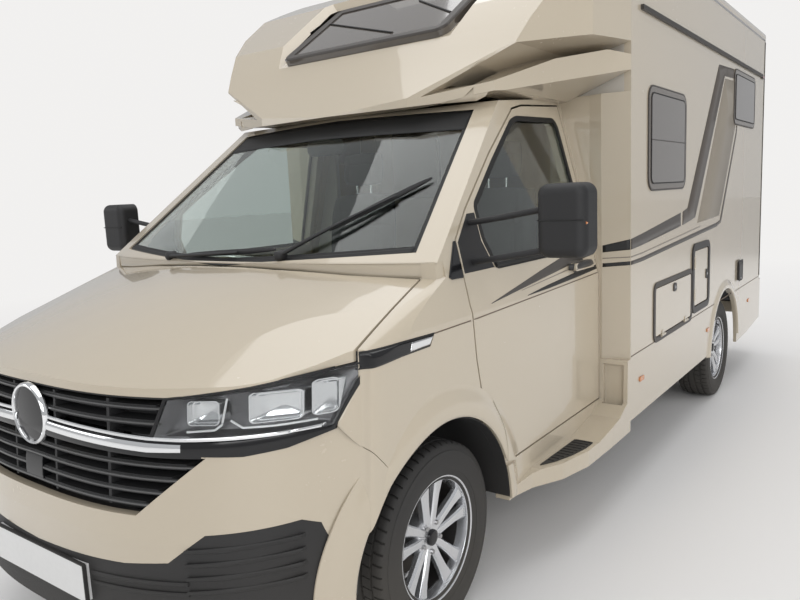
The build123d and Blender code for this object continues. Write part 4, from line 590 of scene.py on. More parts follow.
    @staticmethod
    def joined(parts: list[tuple[Array, list]]) -> tuple[Array, list]:
        """Several shapes as one list of points and one of faces."""
        points, faces, start = [], [], 0
        for some_points, some_faces in parts:
            points.append(some_points)
            faces += [[start + k for k in face] for face in some_faces]
            start += len(some_points)
        return np.vstack(points), faces


def rounded(width: float, height: float, radius: float, steps: int = 6) -> Array:
    """Outline of a rounded rectangle about zero, as rows of (across, up)."""
    turn = np.linspace(0, np.pi / 2, steps + 1)
    corner = np.stack([np.cos(turn), np.sin(turn)], -1) * radius
    spots = [(1, 1, 0), (-1, 1, 1), (-1, -1, 2), (1, -1, 3)]
    runs = []
    for sign_x, sign_y, quarter in spots:
        spin = np.array([[0, -1], [1, 0]])
        turned = corner @ np.linalg.matrix_power(spin, quarter).T
        runs.append(turned + [sign_x * (width / 2 - radius), sign_y * (height / 2 - radius)])
    return np.vstack(runs)


def along_curve(points: Array, count: int) -> Array:
    """The outline's points spread evenly over its length, by straight runs."""
    points = np.asarray(points, float)
    length = np.concatenate([[0], np.cumsum(np.linalg.norm(np.diff(points, axis=0), axis=1))])
    where = np.linspace(0, length[-1], count)
    return np.stack([np.interp(where, length, points[:, k]) for k in range(points.shape[1])], -1)


def softened(points: Array, count: int, radius: float) -> Array:
    """A closed outline with its corners rounded by a moving mean about as wide as the radius.

    The outline is spread evenly, then each point becomes the mean of its neighbours within the radius.
    """
    ring = along_curve(np.vstack([points, points[:1]]), count + 1)[:-1]
    step = np.linalg.norm(ring[1] - ring[0])
    reach = max(1, int(radius / max(step, 1e-9)))
    shifts = np.arange(-reach, reach + 1)
    return np.mean([np.roll(ring, k, axis=0) for k in shifts], axis=0)


def grown(outline: Array, amount: float) -> Array:
    """A closed outline of (across, up) moved outwards by the amount, square to its run at each point."""
    run = np.roll(outline, -1, axis=0) - np.roll(outline, 1, axis=0)
    run /= np.maximum(np.linalg.norm(run, axis=1, keepdims=True), 1e-9)
    square = np.stack([run[:, 1], -run[:, 0]], -1)
    area = np.sum(outline[:, 0] * np.roll(outline[:, 1], -1) - np.roll(outline[:, 0], -1) * outline[:, 1])
    return outline + square * amount * np.sign(area)


def on_side(outline: Array, x: float | Array) -> Array:
    """Points of an outline of (y, z) at a distance x from the middle."""
    return np.column_stack([np.broadcast_to(x, len(outline)), outline])


def on_front(outline: Array, inset: float) -> Array:
    """Points of an outline of (x, z in metres) on the nose's front, set in by the inset."""
    return np.column_stack([outline[:, 0], nose_front(outline[:, 0], outline[:, 1] * 1000, inset), outline[:, 1]])


def flank(behind: Array, height: Array) -> Array:
    """X in metres of the cab's side: the nose's plan curve turned round, never wider than the cab's outline.

    The plan curve's place is first moved forward by its lean of 8 mm per 100 mm of height.
    """
    place = np.asarray(behind, float) - 0.08 * np.maximum(np.asarray(height, float) - 600, 0)
    share = np.clip((-100 - place) / 808, 0, 1)
    return np.minimum(0.952 * (1 - share**2.6) ** (1 / 2.6), cab_side(height))


def strip_grid(upper: Array, lower: Array, columns: int, rows: int = 4) -> Array:
    """Points between two lines of (behind, height) in millimetres, as rows by columns of (y, z) in metres."""
    top, bottom = along_curve(upper, columns), along_curve(lower, columns)
    share = np.linspace(0, 1, rows)[:, None, None]
    flat = top[None] * (1 - share) + bottom[None] * share
    return np.stack([at(0) + flat[..., 0] / 1000, flat[..., 1] / 1000], -1)


def wrapped(
    name: str, grid: Array, node: bpy.types.Object, side: float, finish: Finish, body: Body, lift: float = 0.0006
) -> bpy.types.Object:
    """A thin sheet laid on a CAD panel from the side.

    The flat sheet of (y, z) points stands clear of the panel, is thrown on it along X, and is given its thickness.

    Args:
        name: Name of the piece.
        grid: Rows by columns of (y, z) in metres.
        node: The CAD panel's object.
        side: 1 for the left side and -1 for the right.
        finish: The finish it wears.
        body: The body that the panel rides on.
        lift: Thickness of the sheet.

    Returns:
        The new object.
    """
    spread = np.concatenate([np.full(grid.shape[:2] + (1,), side * 1.3), grid], -1)
    made = Mesh.surface(name, spread, finish, body=body)
    throw = made.modifiers.new("throw", "SHRINKWRAP")
    throw.target = node
    throw.wrap_method = "PROJECT"
    throw.use_project_x = True
    throw.use_negative_direction = side > 0
    throw.use_positive_direction = side < 0
    throw.offset = 0.0004
    settled = bpy.data.meshes.new_from_object(made.evaluated_get(bpy.context.evaluated_depsgraph_get()))
    made.modifiers.clear()
    made.data = settled
    thick = made.modifiers.new("thickness", "SOLIDIFY")
    thick.thickness = lift
    thick.offset = 0
    return made


@dataclass
class Studio:
    """Camera, pale floor and soft lights."""

    place: tuple[float, float, float] = (2.1805, -3.9436, 1.5166)
    yaw: float = 36.3
    pitch: float = -8.4
    roll: float = -2.6
    lens: float = 32.15
    floor_colour: Colour = (0.80, 0.79, 0.78)
    backdrop: Colour = (0.93, 0.92, 0.91)

    def camera(self) -> None:
        """Stands the camera at the photograph's place.

        It looks along yaw and pitch, and its right and up turn by roll about that line.
        """
        yaw, pitch, roll = (math.radians(v) for v in (self.yaw, self.pitch, self.roll))
        ahead = Vector((-math.sin(yaw) * math.cos(pitch), math.cos(yaw) * math.cos(pitch), math.sin(pitch)))
        right = Vector((math.cos(yaw), math.sin(yaw), 0))
        up = right.cross(ahead)
        across = right * math.cos(roll) + up * math.sin(roll)
        above = up * math.cos(roll) - right * math.sin(roll)
        data = bpy.data.cameras.new("view")
        data.lens = self.lens
        data.sensor_width = 36
        data.clip_end = 200
        eye = bpy.data.objects.new("view", data)
        turn = Matrix((across, above, -ahead)).transposed().to_4x4()
        eye.matrix_world = Matrix.Translation(self.place) @ turn
        bpy.context.scene.collection.objects.link(eye)
        bpy.context.scene.camera = eye

    def floor(self) -> None:
        """Lays the pale floor and sets the pale background."""
        mesh = bpy.data.meshes.new("floor")
        reach = 60
        corners = [(-reach, -reach, 0), (reach, -reach, 0), (reach, reach, 0), (-reach, reach, 0)]
        mesh.from_pydata(corners, [], [(0, 1, 2, 3)])
        material = bpy.data.materials.new("floor")
        material.use_nodes = True
        shader = material.node_tree.nodes["Principled BSDF"]
        shader.inputs["Base Color"].default_value = (*self.floor_colour, 1)
        shader.inputs["Roughness"].default_value = 0.55
        self.faded(material.node_tree, shader)
        mesh.materials.append(material)
        ground = bpy.data.objects.new("floor", mesh)
        bpy.context.scene.collection.objects.link(ground)

    def faded(self, tree: bpy.types.NodeTree, shader: bpy.types.Node) -> None:
        """Fades the floor into the backdrop's own tone between 4 and 11 metres from the middle, for the camera only.

        Args:
            tree: The floor material's tree.
            shader: The floor's own shader.
        """
        nodes, links = tree.nodes, tree.links
        place = nodes.new("ShaderNodeTexCoord")
        length = nodes.new("ShaderNodeVectorMath")
        length.operation = "LENGTH"
        links.new(place.outputs["Object"], length.inputs[0])
        share = nodes.new("ShaderNodeMapRange")
        share.interpolation_type = "SMOOTHSTEP"
        share.inputs["From Min"].default_value = 4
        share.inputs["From Max"].default_value = 11
        links.new(length.outputs["Value"], share.inputs["Value"])
        path = nodes.new("ShaderNodeLightPath")
        seen = math_node(nodes, links, "MULTIPLY", share.outputs["Result"], path.outputs["Is Camera Ray"])
        glow = nodes.new("ShaderNodeEmission")
        glow.inputs["Color"].default_value = (*self.backdrop, 1)
        glow.inputs["Strength"].default_value = 0.95
        mix = nodes.new("ShaderNodeMixShader")
        links.new(seen, mix.inputs["Fac"])
        links.new(shader.outputs[0], mix.inputs[1])
        links.new(glow.outputs[0], mix.inputs[2])
        links.new(mix.outputs[0], nodes["Material Output"].inputs["Surface"])

    def world(self) -> None:
        """Soft even light from all round, and a pale backdrop for the camera, gloss and glass."""
        world = bpy.data.worlds.new("studio")
        bpy.context.scene.world = world
        world.use_nodes = True
        tree = world.node_tree
        nodes, links = tree.nodes, tree.links
        light = nodes["Background"]
        light.inputs["Color"].default_value = (0.97, 0.98, 1.0, 1)
        light.inputs["Strength"].default_value = 0.5
        seen = nodes.new("ShaderNodeBackground")
        seen.inputs["Color"].default_value = (*self.backdrop, 1)
        seen.inputs["Strength"].default_value = 0.95
        path = nodes.new("ShaderNodeLightPath")
        mix = nodes.new("ShaderNodeMixShader")
        links.new(path.outputs["Is Camera Ray"], mix.inputs["Fac"])
        links.new(light.outputs[0], mix.inputs[1])
        links.new(seen.outputs[0], mix.inputs[2])
        links.new(mix.outputs[0], nodes["World Output"].inputs["Surface"])

    def lamps(self) -> None:
        """Hangs the soft boxes: one over the van, one before its left front corner, one at each side and one behind."""
        boxes = [
            ("over", (0.0, 0.0, 7.5), (0, 0, 0), (7.0, 11.0), 330),
            ("front_left", (7.0, -9.5, 5.0), (0, 0, 1.2), (8.0, 5.0), 400),
            ("front_right", (-7.5, -8.0, 5.0), (0, 0, 1.2), (7.0, 5.0), 170),
            ("left", (10.0, 1.0, 4.6), (0, 0.5, 1.2), (9.0, 5.0), 230),
            ("rear", (0.0, 10.5, 5.0), (0, 0, 1.2), (8.0, 5.0), 190),
            ("right", (-10.0, 2.0, 4.6), (0, 0.5, 1.2), (9.0, 5.0), 190),
        ]
        for name, place, aim, size, power in boxes:
            data = bpy.data.lights.new(name, "AREA")
            data.shape = "RECTANGLE"
            data.size, data.size_y = size
            data.energy = power
            lamp = bpy.data.objects.new(name, data)
            way = Vector(aim) - Vector(place)
            lamp.matrix_world = Matrix.Translation(place) @ way.to_track_quat("-Z", "Y").to_matrix().to_4x4()
            lamp.visible_glossy = name not in ("left", "right", "rear")
            bpy.context.scene.collection.objects.link(lamp)

    def build(self) -> None:
        """Sets the whole studio."""
        bpy.context.scene.view_settings.view_transform = "Standard"
        self.camera()
        self.floor()
        self.world()
        self.lamps()


@dataclass
class PanelFinishes:
    """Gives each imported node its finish."""

    frame: dict
    by_finish: dict[str, tuple[Finish, tuple[str, ...]]] = field(
        default_factory=lambda: {
            "paint": (
                PAINT,
                (
                    "bonnet", "front_wings", "front_bumper", "cab_body", "cab_door_left", "cab_door_right", "cab_steps",
                    "pillar_fairings", "overcab_hood", "side_wall_left", "side_wall_right", "rear_wall", "roof", "skirts",
                    "rear_bumper", "entry_door", "garage_door", "service_flap", "toilet_flap",
                ),
            ),
            "black": (BLACK, ("bumper_trim", "grille", "mirror_left", "mirror_right", "wheel_liners", "wipers")),
            "ring": (RING_TAUPE, ("window_rings",)),
            "rail": (RAIL, ("side_rails",)),
            "glass": (GLASS, ("windshield", "door_glass_left", "door_glass_right")),
            "acrylic": (ACRYLIC, ("window_panes", "hood_skylight", "entry_door_glass")),
            "hatch": (HATCH, ("roof_hatches",)),
            "lens": (LENS, ("headlamps",)),
            "red": (LAMP_RED, ("tail_lamps",)),
            "board": (BOARD, ("bulkhead",)),
            "floor": (FLOOR_MAT, ("cab_floor", "body_floor")),
            "cloth": (CLOTH, ("cab_seats",)),
            "dash": (DASH, ("dashboard", "steering_wheel")),
            "frame": (FRAME_STEEL, ("chassis_frame", "front_subframe")),
            "cast": (CAST, ("engine", "knuckle_left", "knuckle_right", "rear_axle")),
            "exhaust": (STEEL, ("exhaust",)),
            "tank": (TANK, ("water_tank",)),
            "plate": (PLATE, ("front_plate",)),
            "tyre": (TYRE, tuple(f"tyre_{end}_{side}" for end in ("front", "rear") for side in ("left", "right"))),
            "alloy": (ALLOY, tuple(f"rim_{end}_{side}" for end in ("front", "rear") for side in ("left", "right"))),
        }
    )

    def build(self) -> None:
        """Puts each finish on its nodes."""
        for finish, names in self.by_finish.values():
            for name in names:
                for slot in self.frame["nodes"][name].material_slots:
                    slot.material = finish.material()
        LOG.info("finishes on %d nodes", len(self.frame["nodes"]))


@dataclass
class RoadWheel:
    """Tyre with its tread, split-spoke rim, hub, bolts and brake disc of one wheel."""

    corner: str
    x: float
    behind: float
    side: float
    pitches: int = 58
    tyre_radius: float = 0.339
    groove: float = 0.007

    @property
    def centre(self) -> Array:
        """Middle of the wheel."""
        return np.array([self.side * self.x, at(self.behind), self.tyre_radius])

    @property
    def body(self) -> str:
        """The body that the wheel turns with."""
        return f"wheel_{self.corner}"

    def turned(self, name: str, profile: list, finish: Finish, turns: int = 96, **options: object) -> bpy.types.Object:
        """A shape turned about this wheel's axle."""
        return Mesh.turned(name, np.array(profile), self.centre, self.side, finish, turns, body=self.body, **options)

    def tyre(self) -> bpy.types.Object:
        """The tyre: a closed profile of sidewalls and crown turned about the axle.

        The crown has four grooves round it, and cross grooves where each pitch's second and third columns lie lower.
        """
        half = [(0.0865, 0.204), (0.0955, 0.2225), (0.1015, 0.236), (0.1022, 0.2385), (0.1032, 0.2385), (0.1062, 0.25)]
        half += [(0.1075, 0.266), (0.1068, 0.287), (0.1046, 0.303), (0.1052, 0.3045), (0.1040, 0.3075), (0.1024, 0.308)]
        half += [(0.1002, 0.318), (0.0962, 0.3272), (0.0900, 0.3334)]
        top = [0.0780, 0.0640, 0.0630, 0.0550, 0.0540, 0.0390, 0.0250, 0.0240, 0.0160, 0.0150, 0.0]
        low = {0.0630, 0.0550, 0.0240, 0.0160}
        right = [(x, self.tyre_radius - 0.0036 * (x / 0.09) ** 2 - (self.groove if x in low else 0)) for x in top]
        inside = [(-0.080, 0.205), (-0.086, 0.25), (-0.080, 0.318), (0, 0.324), (0.080, 0.318), (0.086, 0.25), (0.080, 0.205)]
        run = half + right
        run += [(-x, radius) for x, radius in reversed(run[:-1])] + inside
        profile = np.array(run)
        across, radius = profile[:, 0], profile[:, 1]
        tread = (radius > 0.3325) & (np.abs(across) < 0.0905)
        shoulder = tread & (np.abs(across) > 0.0635)
        rib = tread & (np.abs(across) > 0.0245) & (np.abs(across) < 0.0545)
        share = np.array([0.0, 0.03, 0.17, 0.20, 0.50, 0.52, 0.60, 0.62])
        turn = 2 * np.pi * (np.arange(self.pitches)[:, None] + share) / self.pitches
        lowered_out = np.tile([0, 1, 1, 0, 0, 0, 0, 0], self.pitches)
        lowered_mid = np.tile([0, 0, 0, 0, 0, 1, 1, 0], self.pitches)
        size = radius[None] - 0.0065 * (np.outer(lowered_out, shoulder) + 0.8 * np.outer(lowered_mid, rib))
        skew = turn.reshape(-1, 1) + 0.05 * (np.abs(across) / 0.09)[None]
        grid = np.stack(
            [
                np.broadcast_to(self.centre[0] + self.side * across, size.shape),
                self.centre[1] + np.cos(skew) * size,
                self.centre[2] + np.sin(skew) * size,
            ],
            -1,
        )
        name = f"tyre_tread_{self.corner}"
        made = Mesh.surface(name, grid, TYRE, round_rows=True, round_columns=True, body=self.body, sharp=32)
        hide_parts(f"tyre_{self.corner}")
        return made

    def rim(self) -> bpy.types.Object:
        """The rim's barrel with its two flanges, and ten spokes in pairs that part towards the barrel.

        A spoke is a six-sided section carried outwards, as wide as its table says at each radius.
        """
        barrel = [(0.094, 0.2215), (0.094, 0.2165), (0.0885, 0.2110), (0.084, 0.2025), (0.066, 0.1985), (0.02, 0.1965)]
        barrel += [(-0.060, 0.1880), (-0.084, 0.1980), (-0.0935, 0.2080), (-0.094, 0.2215), (-0.0870, 0.2215), (-0.0855, 0.2060)]
        barrel += [(-0.060, 0.1965), (0.02, 0.2025), (0.0855, 0.2045), (0.0870, 0.2215)]
        profile = np.array(barrel)
        turn = np.linspace(0, 2 * np.pi, 120, endpoint=False)
        ring = np.stack(
            [np.broadcast_to(profile[:, 0], (120, len(barrel))), np.outer(np.cos(turn), profile[:, 1]), np.outer(np.sin(turn), profile[:, 1])],
            -1,
        )
        shapes = [(ring.reshape(-1, 3), Mesh.grid_faces(120, len(barrel), True, True))]
        table = np.array(
            [
                (0.030, 0.0600, 0.0125, 0.034, 0.030),
                (0.060, 0.0635, 0.0175, 0.034, 0.030),
                (0.100, 0.0665, 0.0255, 0.034, 0.028),
                (0.145, 0.0700, 0.0340, 0.039, 0.025),
                (0.178, 0.0735, 0.0415, 0.049, 0.023),
                (0.1995, 0.0770, 0.0470, 0.061, 0.022),
            ]
        )
        reach, front, offset, width, deep = table.T
        section = np.array([(-0.5, -1.0), (-0.5, -0.22), (-0.36, 0.0), (0.30, 0.0), (0.5, -0.30), (0.5, -1.0)])
        for spoke in range(5):
            for hand in (-1, 1):
                along = reach[:, None] * np.ones(len(section))
                tangent = hand * (offset[:, None] + width[:, None] * section[None, :, 0])
                out = front[:, None] + deep[:, None] * section[None, :, 1]
                angle = math.radians(90 + 72 * spoke)
                y = along * math.cos(angle) - tangent * math.sin(angle)
                z = along * math.sin(angle) + tangent * math.cos(angle)
                grid = np.stack([out, y, z], -1)
                faces = Mesh.grid_faces(len(reach), len(section), round_columns=True)
                last = (len(reach) - 1) * len(section)
                faces += [list(range(len(section))), [last + k for k in range(len(section))]]
                shapes.append((grid.reshape(-1, 3), faces))
        points, faces = Mesh.joined(shapes)
        points = points * [self.side, 1, 1] + self.centre
        made = Mesh.piece(f"alloy_rim_{self.corner}", points, faces, ALLOY, body=self.body, bevel=0.0016, sharp=28)
        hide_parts(f"rim_{self.corner}")
        return made

    def hub(self) -> None:
        """Hub with its plain cap, five bolts, valve, and the brake disc with its bell and vents."""
        cap = [(0.0735, 0.0), (0.0733, 0.016), (0.0722, 0.0235), (0.0695, 0.0275), (0.064, 0.0285), (0.050, 0.0285), (0.050, 0.0)]
        self.turned(f"hub_cap_{self.corner}", cap, GLOSS_BLACK, 48)
        # A dark ring lining the inside of the rim's alloy barrel: painted shade where the barrel's inside lies in
        # shadow.
        shade = [(0.046, 0.1958), (-0.055, 0.1868), (-0.055, 0.1835), (0.046, 0.1925)]
        self.turned(f"barrel_painted_shade_{self.corner}", shade, FRAME_BLACK)
        face = [(0.0605, 0.0), (0.0605, 0.036), (0.0560, 0.068), (0.0400, 0.0760), (-0.035, 0.0760), (-0.035, 0.0)]
        self.turned(f"hub_face_{self.corner}", face, ALLOY, 60, bevel=0.001)
        disc = [(-0.035, 0.076), (-0.035, 0.147), (-0.0362, 0.149), (-0.0425, 0.149), (-0.0425, 0.142), (-0.0475, 0.142)]
        disc += [(-0.0475, 0.149), (-0.0538, 0.149), (-0.055, 0.147), (-0.055, 0.050), (-0.040, 0.050)]
        self.turned(f"brake_disc_{self.corner}", disc, CAST, 96)
        bolts = []
        turn = np.linspace(0, 2 * np.pi, 6, endpoint=False)
        for spot in range(5):
            angle = math.radians(54 + 72 * spot)
            middle = np.array([0, 0.0525 * math.cos(angle), 0.0525 * math.sin(angle)])
            ring = np.stack([np.zeros(6), 0.0085 * np.cos(turn), 0.0085 * np.sin(turn)], -1)
            bolts.append(Mesh.prism_data(middle + ring + [0.048, 0, 0], middle + ring + [0.0685, 0, 0]))
        points, faces = Mesh.joined(bolts)
        points = points * [self.side, 1, 1] + self.centre
        Mesh.piece(f"wheel_bolts_{self.corner}", points, faces, STEEL, body=self.body, bevel=0.0012)
        angle = math.radians(54)
        foot = self.centre + [self.side * 0.058, 0.196 * math.cos(angle), 0.196 * math.sin(angle)]
        tip = self.centre + [self.side * 0.084, 0.176 * math.cos(angle), 0.176 * math.sin(angle)]
        path = foot + np.linspace(0, 1, 6)[:, None] * (tip - foot)
        Mesh.tube(f"valve_{self.corner}", path, np.array([0.006, 0.0055, 0.004, 0.004, 0.0045, 0.0042]), RUBBER, body=self.body)

    def build(self) -> None:
        """Makes the wheel."""
        self.tyre()
        self.rim()
        self.hub()


@dataclass
class FrontFace:
    """Grille strips, bare badge disc, headlamps, lower trim slats and number plate holder."""

    lamp: tuple = ((552, 998), (505, 883), (721, 887), (890, 889), (929, 1050), (905, 1052), (753, 1024))
    badge_height: float = 0.905
    badge_radius: float = 0.0975

    def bar(
        self, name: str, x_span: tuple[float, float], heights: tuple, tall: float, insets: tuple[float, float], finish: Finish, both: bool = False, **options: object
    ) -> None:
        """A strip across the nose: its section is carried along x at heights read from a table.

        Args:
            name: Name of the piece.
            x_span: Where it starts and ends.
            heights: Rows of (x, height) in metres, and the section's share of its full height as a third number.
            tall: Full height of the section.
            insets: Depths of its front and back under the nose's face.
            finish: The finish it wears.
            both: Makes the like piece on the right side, in the same mesh.
            options: As in piece.
        """
        table = np.array(heights)
        x = np.linspace(*x_span, 60)
        z = np.interp(x, table[:, 0], table[:, 1])
        half = np.interp(x, table[:, 0], table[:, 2]) * tall / 2 if table.shape[1] > 2 else np.full(60, tall / 2)
        front, back = insets
        section = np.array([(back, -1.0), (front + 0.003, -1.0), (front, -0.55), (front, 0.55), (front + 0.003, 1.0), (back, 1.0)])
        height = z[:, None] + half[:, None] * section[None, :, 1]
        y = nose_front(np.broadcast_to(x[:, None], height.shape), height * 1000) + section[None, :, 0]
        grid = np.stack([np.broadcast_to(x[:, None], height.shape), y, height], -1)
        faces = Mesh.grid_faces(60, 6, round_columns=True) + [list(range(6)), [354 + k for k in range(6)]]
        shapes = [(grid.reshape(-1, 3), faces)]
        if both:
            shapes.append((grid.reshape(-1, 3) * [-1, 1, 1], [face[::-1] for face in faces]))
        points, faces = Mesh.joined(shapes)
        Mesh.piece(name, points, faces, finish, **options)

    def grille(self) -> None:
        """Bright strips, grey slat edges and the black frame round the openings."""
        thin = ((0.09, 0.9065), (0.30, 0.8985), (0.50, 0.8885), (0.60, 0.8870), (0.72, 0.8890), (0.80, 0.8915), (0.868, 0.8960))
        self.bar("bright_strip_upper", (0.09, 0.868), thin, 0.011, (-0.003, 0.02), CHROME, both=True)
        wide = ((0.08, 0.8830, 1.0), (0.30, 0.8740, 1.0), (0.50, 0.8655, 1.0), (0.60, 0.8660, 0.8), (0.656, 0.8680, 0.25))
        self.bar("bright_strip_lower", (0.08, 0.656), wide, 0.026, (-0.008, 0.03), CHROME, both=True)
        slats = [(975, 4, 546), (935, 6, 538), (820, 10, 628), (782, 9, 590), (744, 8, 545), (706, 6, 500)]
        for number, (height, drop, half) in enumerate(slats):
            line = ((0, height / 1000), (half / 1000, (height - drop) / 1000))
            name = f"slat_{number}"
            self.bar(name, (-half / 1000 + 0.001, half / 1000 - 0.001), self.two_sided(line), 0.0075, (0.003, 0.012), SLAT_EDGE)
        bridge = ((0.0, 0.8760), (0.30, 0.8680), (0.50, 0.8610), (0.62, 0.8600))
        self.bar("gloss_bridge", (-0.645, 0.645), self.two_sided(bridge), 0.046, (-0.0045, 0.01), GLOSS_BLACK)
        gap = ((0.60, 0.8640, 0.8), (0.74, 0.8615, 1.0), (0.82, 0.8700, 0.85), (0.885, 0.8850, 0.3))
        self.bar("gloss_under_lamp", (0.60, 0.885), gap, 0.044, (-0.010, 0.01), GLOSS_BLACK, both=True)
        edge = ((0, 1.0005), (0.552, 1.0000), (0.753, 1.0255), (0.880, 1.0500))
        self.bar("dark_line_under_bonnet", (0.0, 0.880), edge, 0.007, (0.001, 0.02), RUBBER, both=True)

    @staticmethod
    def two_sided(line: tuple) -> tuple:
        """A half table with its mirror image in front of it."""
        return tuple((-x, z) for x, z in reversed(line[1:])) + line

    def badge(self) -> None:
        """A bare domed disc in a bright ring, and the plain sensor cover under it."""
        turn = np.linspace(0, 2 * np.pi, 72, endpoint=False)
        front = float(nose_front(np.array(0.0), np.array(905.0)))
        lean = np.array([0, 1, 0.0])
        for name, profile, finish in (
            ("badge_ring", [(0.004, 0.0975), (-0.010, 0.0965), (-0.0135, 0.092), (-0.0115, 0.0865), (-0.004, 0.084), (0.012, 0.086)], CHROME),
            ("badge_disc", [(-0.0085, 0.0), (-0.0080, 0.03), (-0.0065, 0.06), (-0.0045, 0.086), (0.010, 0.086), (0.010, 0.0)], GLOSS_BLACK),
        ):
            rows = np.array(profile)
            grid = np.stack([np.outer(np.cos(turn), rows[:, 1]), np.broadcast_to(rows[:, 0], (72, len(rows))), np.outer(np.sin(turn), rows[:, 1])], -1)
            grid = grid * [1, 1, 1] + np.array([0, front, self.badge_height]) + 0 * lean
            Mesh.surface(name, grid, finish, round_rows=True, round_columns=True, sharp=50)
        cover = ((-0.05, 0.742), (0.05, 0.742))
        self.bar("sensor_cover", (-0.05, 0.05), cover, 0.075, (0.002, 0.03), GLOSS_BLACK, bevel=0.002)

    def lamp_grid(self, side: int, insets: list[tuple[float, float]]) -> Array:
        """Rings from the lamp's middle to its outline.

        Args:
            side: 1 for the left side and -1 for the right.
            insets: Rows of (share of the way to the outline, depth under the face).

        Returns:
            Rings by points by three.
        """
        outline = softened(np.array(self.lamp, float) / 1000, 260, 0.004)
        middle = outline.mean(axis=0)
        share = np.array(insets)
        flat = middle + (outline - middle)[None] * share[:, 0, None, None]
        depth = np.broadcast_to(share[:, 1, None], flat.shape[:2])
        y = nose_front(flat[..., 0], flat[..., 1] * 1000) + depth
        return np.stack([side * flat[..., 0], y, flat[..., 1]], -1)

    def lamps(self) -> None:
        """Each headlamp: a clear lens, a dark bowl, a bright edge, two reflector boxes and two light strips."""
        for side, name in ((1, "left"), (-1, "right")):
            lens = [(s, 0.001) for s in np.linspace(0, 0.985, 14)] + [(s, 0.004) for s in np.linspace(0.985, 0, 14)]
            made = Mesh.surface(f"headlamp_lens_{name}", self.lamp_grid(side, lens), LENS, round_columns=True)
            if side > 0:
                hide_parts("headlamps")
            bowl = [(0.0, 0.060), (0.4, 0.058), (0.75, 0.052), (0.86, 0.036), (0.93, 0.010), (1.0, 0.0005)]
            bowl += [(1.02, 0.0005), (1.02, 0.055), (0.8, 0.066), (0.0, 0.072)]
            Mesh.surface(f"headlamp_bowl_{name}", self.lamp_grid(side, bowl), LAMP_BOWL, round_columns=True, sharp=40)
            rim = [(0.965, -0.0008), (1.012, -0.0008), (1.012, 0.010), (0.965, 0.010)]
            Mesh.surface(f"headlamp_edge_{name}", self.lamp_grid(side, rim), GLOSS_BLACK, round_columns=True, round_rows=True)
            for number, (low_x, high_x, low_z, high_z, deep) in enumerate(
                ((0.738, 0.836, 0.922, 1.006, 0.05), (0.598, 0.676, 0.922, 0.990, 0.05), (0.850, 0.888, 0.925, 1.025, 0.035))
            ):
                self.reflector(f"reflector_{name}_{number}", side, (low_x, high_x), (low_z, high_z), deep)
            for number, route in enumerate(
                (
                    ((0.600, 0.9065), (0.668, 0.9110), (0.684, 0.925), (0.696, 0.996)),
                    ((0.703, 0.936), (0.728, 0.9140), (0.790, 0.9130), (0.858, 0.9150)),
                )
            ):
                line = along_curve(np.array(route), 40)
                y = nose_front(line[:, 0], line[:, 1] * 1000) + 0.014
                Mesh.tube(f"light_strip_{name}_{number}", np.stack([side * line[:, 0], y, line[:, 1]], -1), 0.0032, LIGHT_STRIP, around=10)

    def reflector(self, name: str, side: int, x_span: tuple[float, float], z_span: tuple[float, float], deep: float) -> None:
        """A bright stepped box open to the front: nested rounded frames, each deeper than the last."""
        turn = rounded(x_span[1] - x_span[0], z_span[1] - z_span[0], 0.012)
        middle = np.array([(x_span[0] + x_span[1]) / 2, (z_span[0] + z_span[1]) / 2])
        steps = [(1.0, 0.018), (0.94, 0.018), (0.88, 0.030), (0.80, 0.031), (0.70, 0.044), (0.4, 0.050), (0.0, 0.052), (0.0, 0.056), (1.0, 0.056)]
        rows = []
        for share, depth in steps:
            flat = middle + turn * share
            y = nose_front(flat[:, 0], flat[:, 1] * 1000) + depth * deep / 0.05
            rows.append(np.stack([side * flat[:, 0], y, flat[:, 1]], -1))
        Mesh.surface(name, np.stack(rows), REFLECTOR, round_columns=True, round_rows=True, sharp=30)

    def lamp_fillers(self) -> None:
        """Painted sheets on the nose between each lamp's slanted outer edge and the wing's seam."""
        z = np.linspace(0.800, 1.046, 24)[:, None]
        inner = np.interp(z, [0.800, 0.889, 1.050], [0.916, 0.886, 0.928])
        outer = np.maximum(inner + 0.001, 0.9165)
        x = inner + (outer - inner) * np.linspace(0, 1, 8)
        y = nose_front(x, z * 1000, 0.0015)
        for side, name in ((1, "left"), (-1, "right")):
            grid = np.stack([side * x, y, np.broadcast_to(z, x.shape)], -1)
            Mesh.surface(f"lamp_filler_{name}", grid, PAINT, flip=side < 0, wall=0.003)

    def lower_trim(self) -> None:
        """Ribs in the black side pockets, the intake slats beside the plate, and the plate with its holder."""
        for number, height in enumerate((0.585, 0.545, 0.505, 0.465)):
            line = ((0.60, height - 0.006, 0.6), (0.70, height, 1.0), (0.84, height + 0.012, 0.7))
            self.bar(f"pocket_rib_{number}", (0.60, 0.84), line, 0.016, (-0.010, 0.02), BLACK, both=True)
        for number, height in enumerate((0.470, 0.440)):
            self.bar(f"intake_slat_{number}", (0.275, 0.60), ((0.275, height), (0.60, height + 0.012)), 0.012, (-0.006, 0.02), BLACK, both=True)
        lo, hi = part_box("front_plate")
        middle = np.array([(lo[0] + hi[0]) / 2, lo[1], (lo[2] + hi[2]) / 2])
        face = rounded(0.520, 0.112, 0.006)
        frame = rounded(0.528, 0.120, 0.008)
        inner = np.column_stack([face[:, 0] * 0.984, np.full(len(face), middle[1] + 0.0004), middle[2] + face[:, 1] * 0.93])
        outer = np.column_stack([frame[:, 0], np.full(len(frame), middle[1] + 0.0004), middle[2] + frame[:, 1]])
        Mesh.ring("plate_holder", inner, outer, np.array([0, 0.012, 0]), BLACK, bevel=0.001)

    def build(self) -> None:
        """Makes the front of the van."""
        self.grille()
        self.badge()
        self.lamps()
        self.lamp_fillers()
        self.lower_trim()


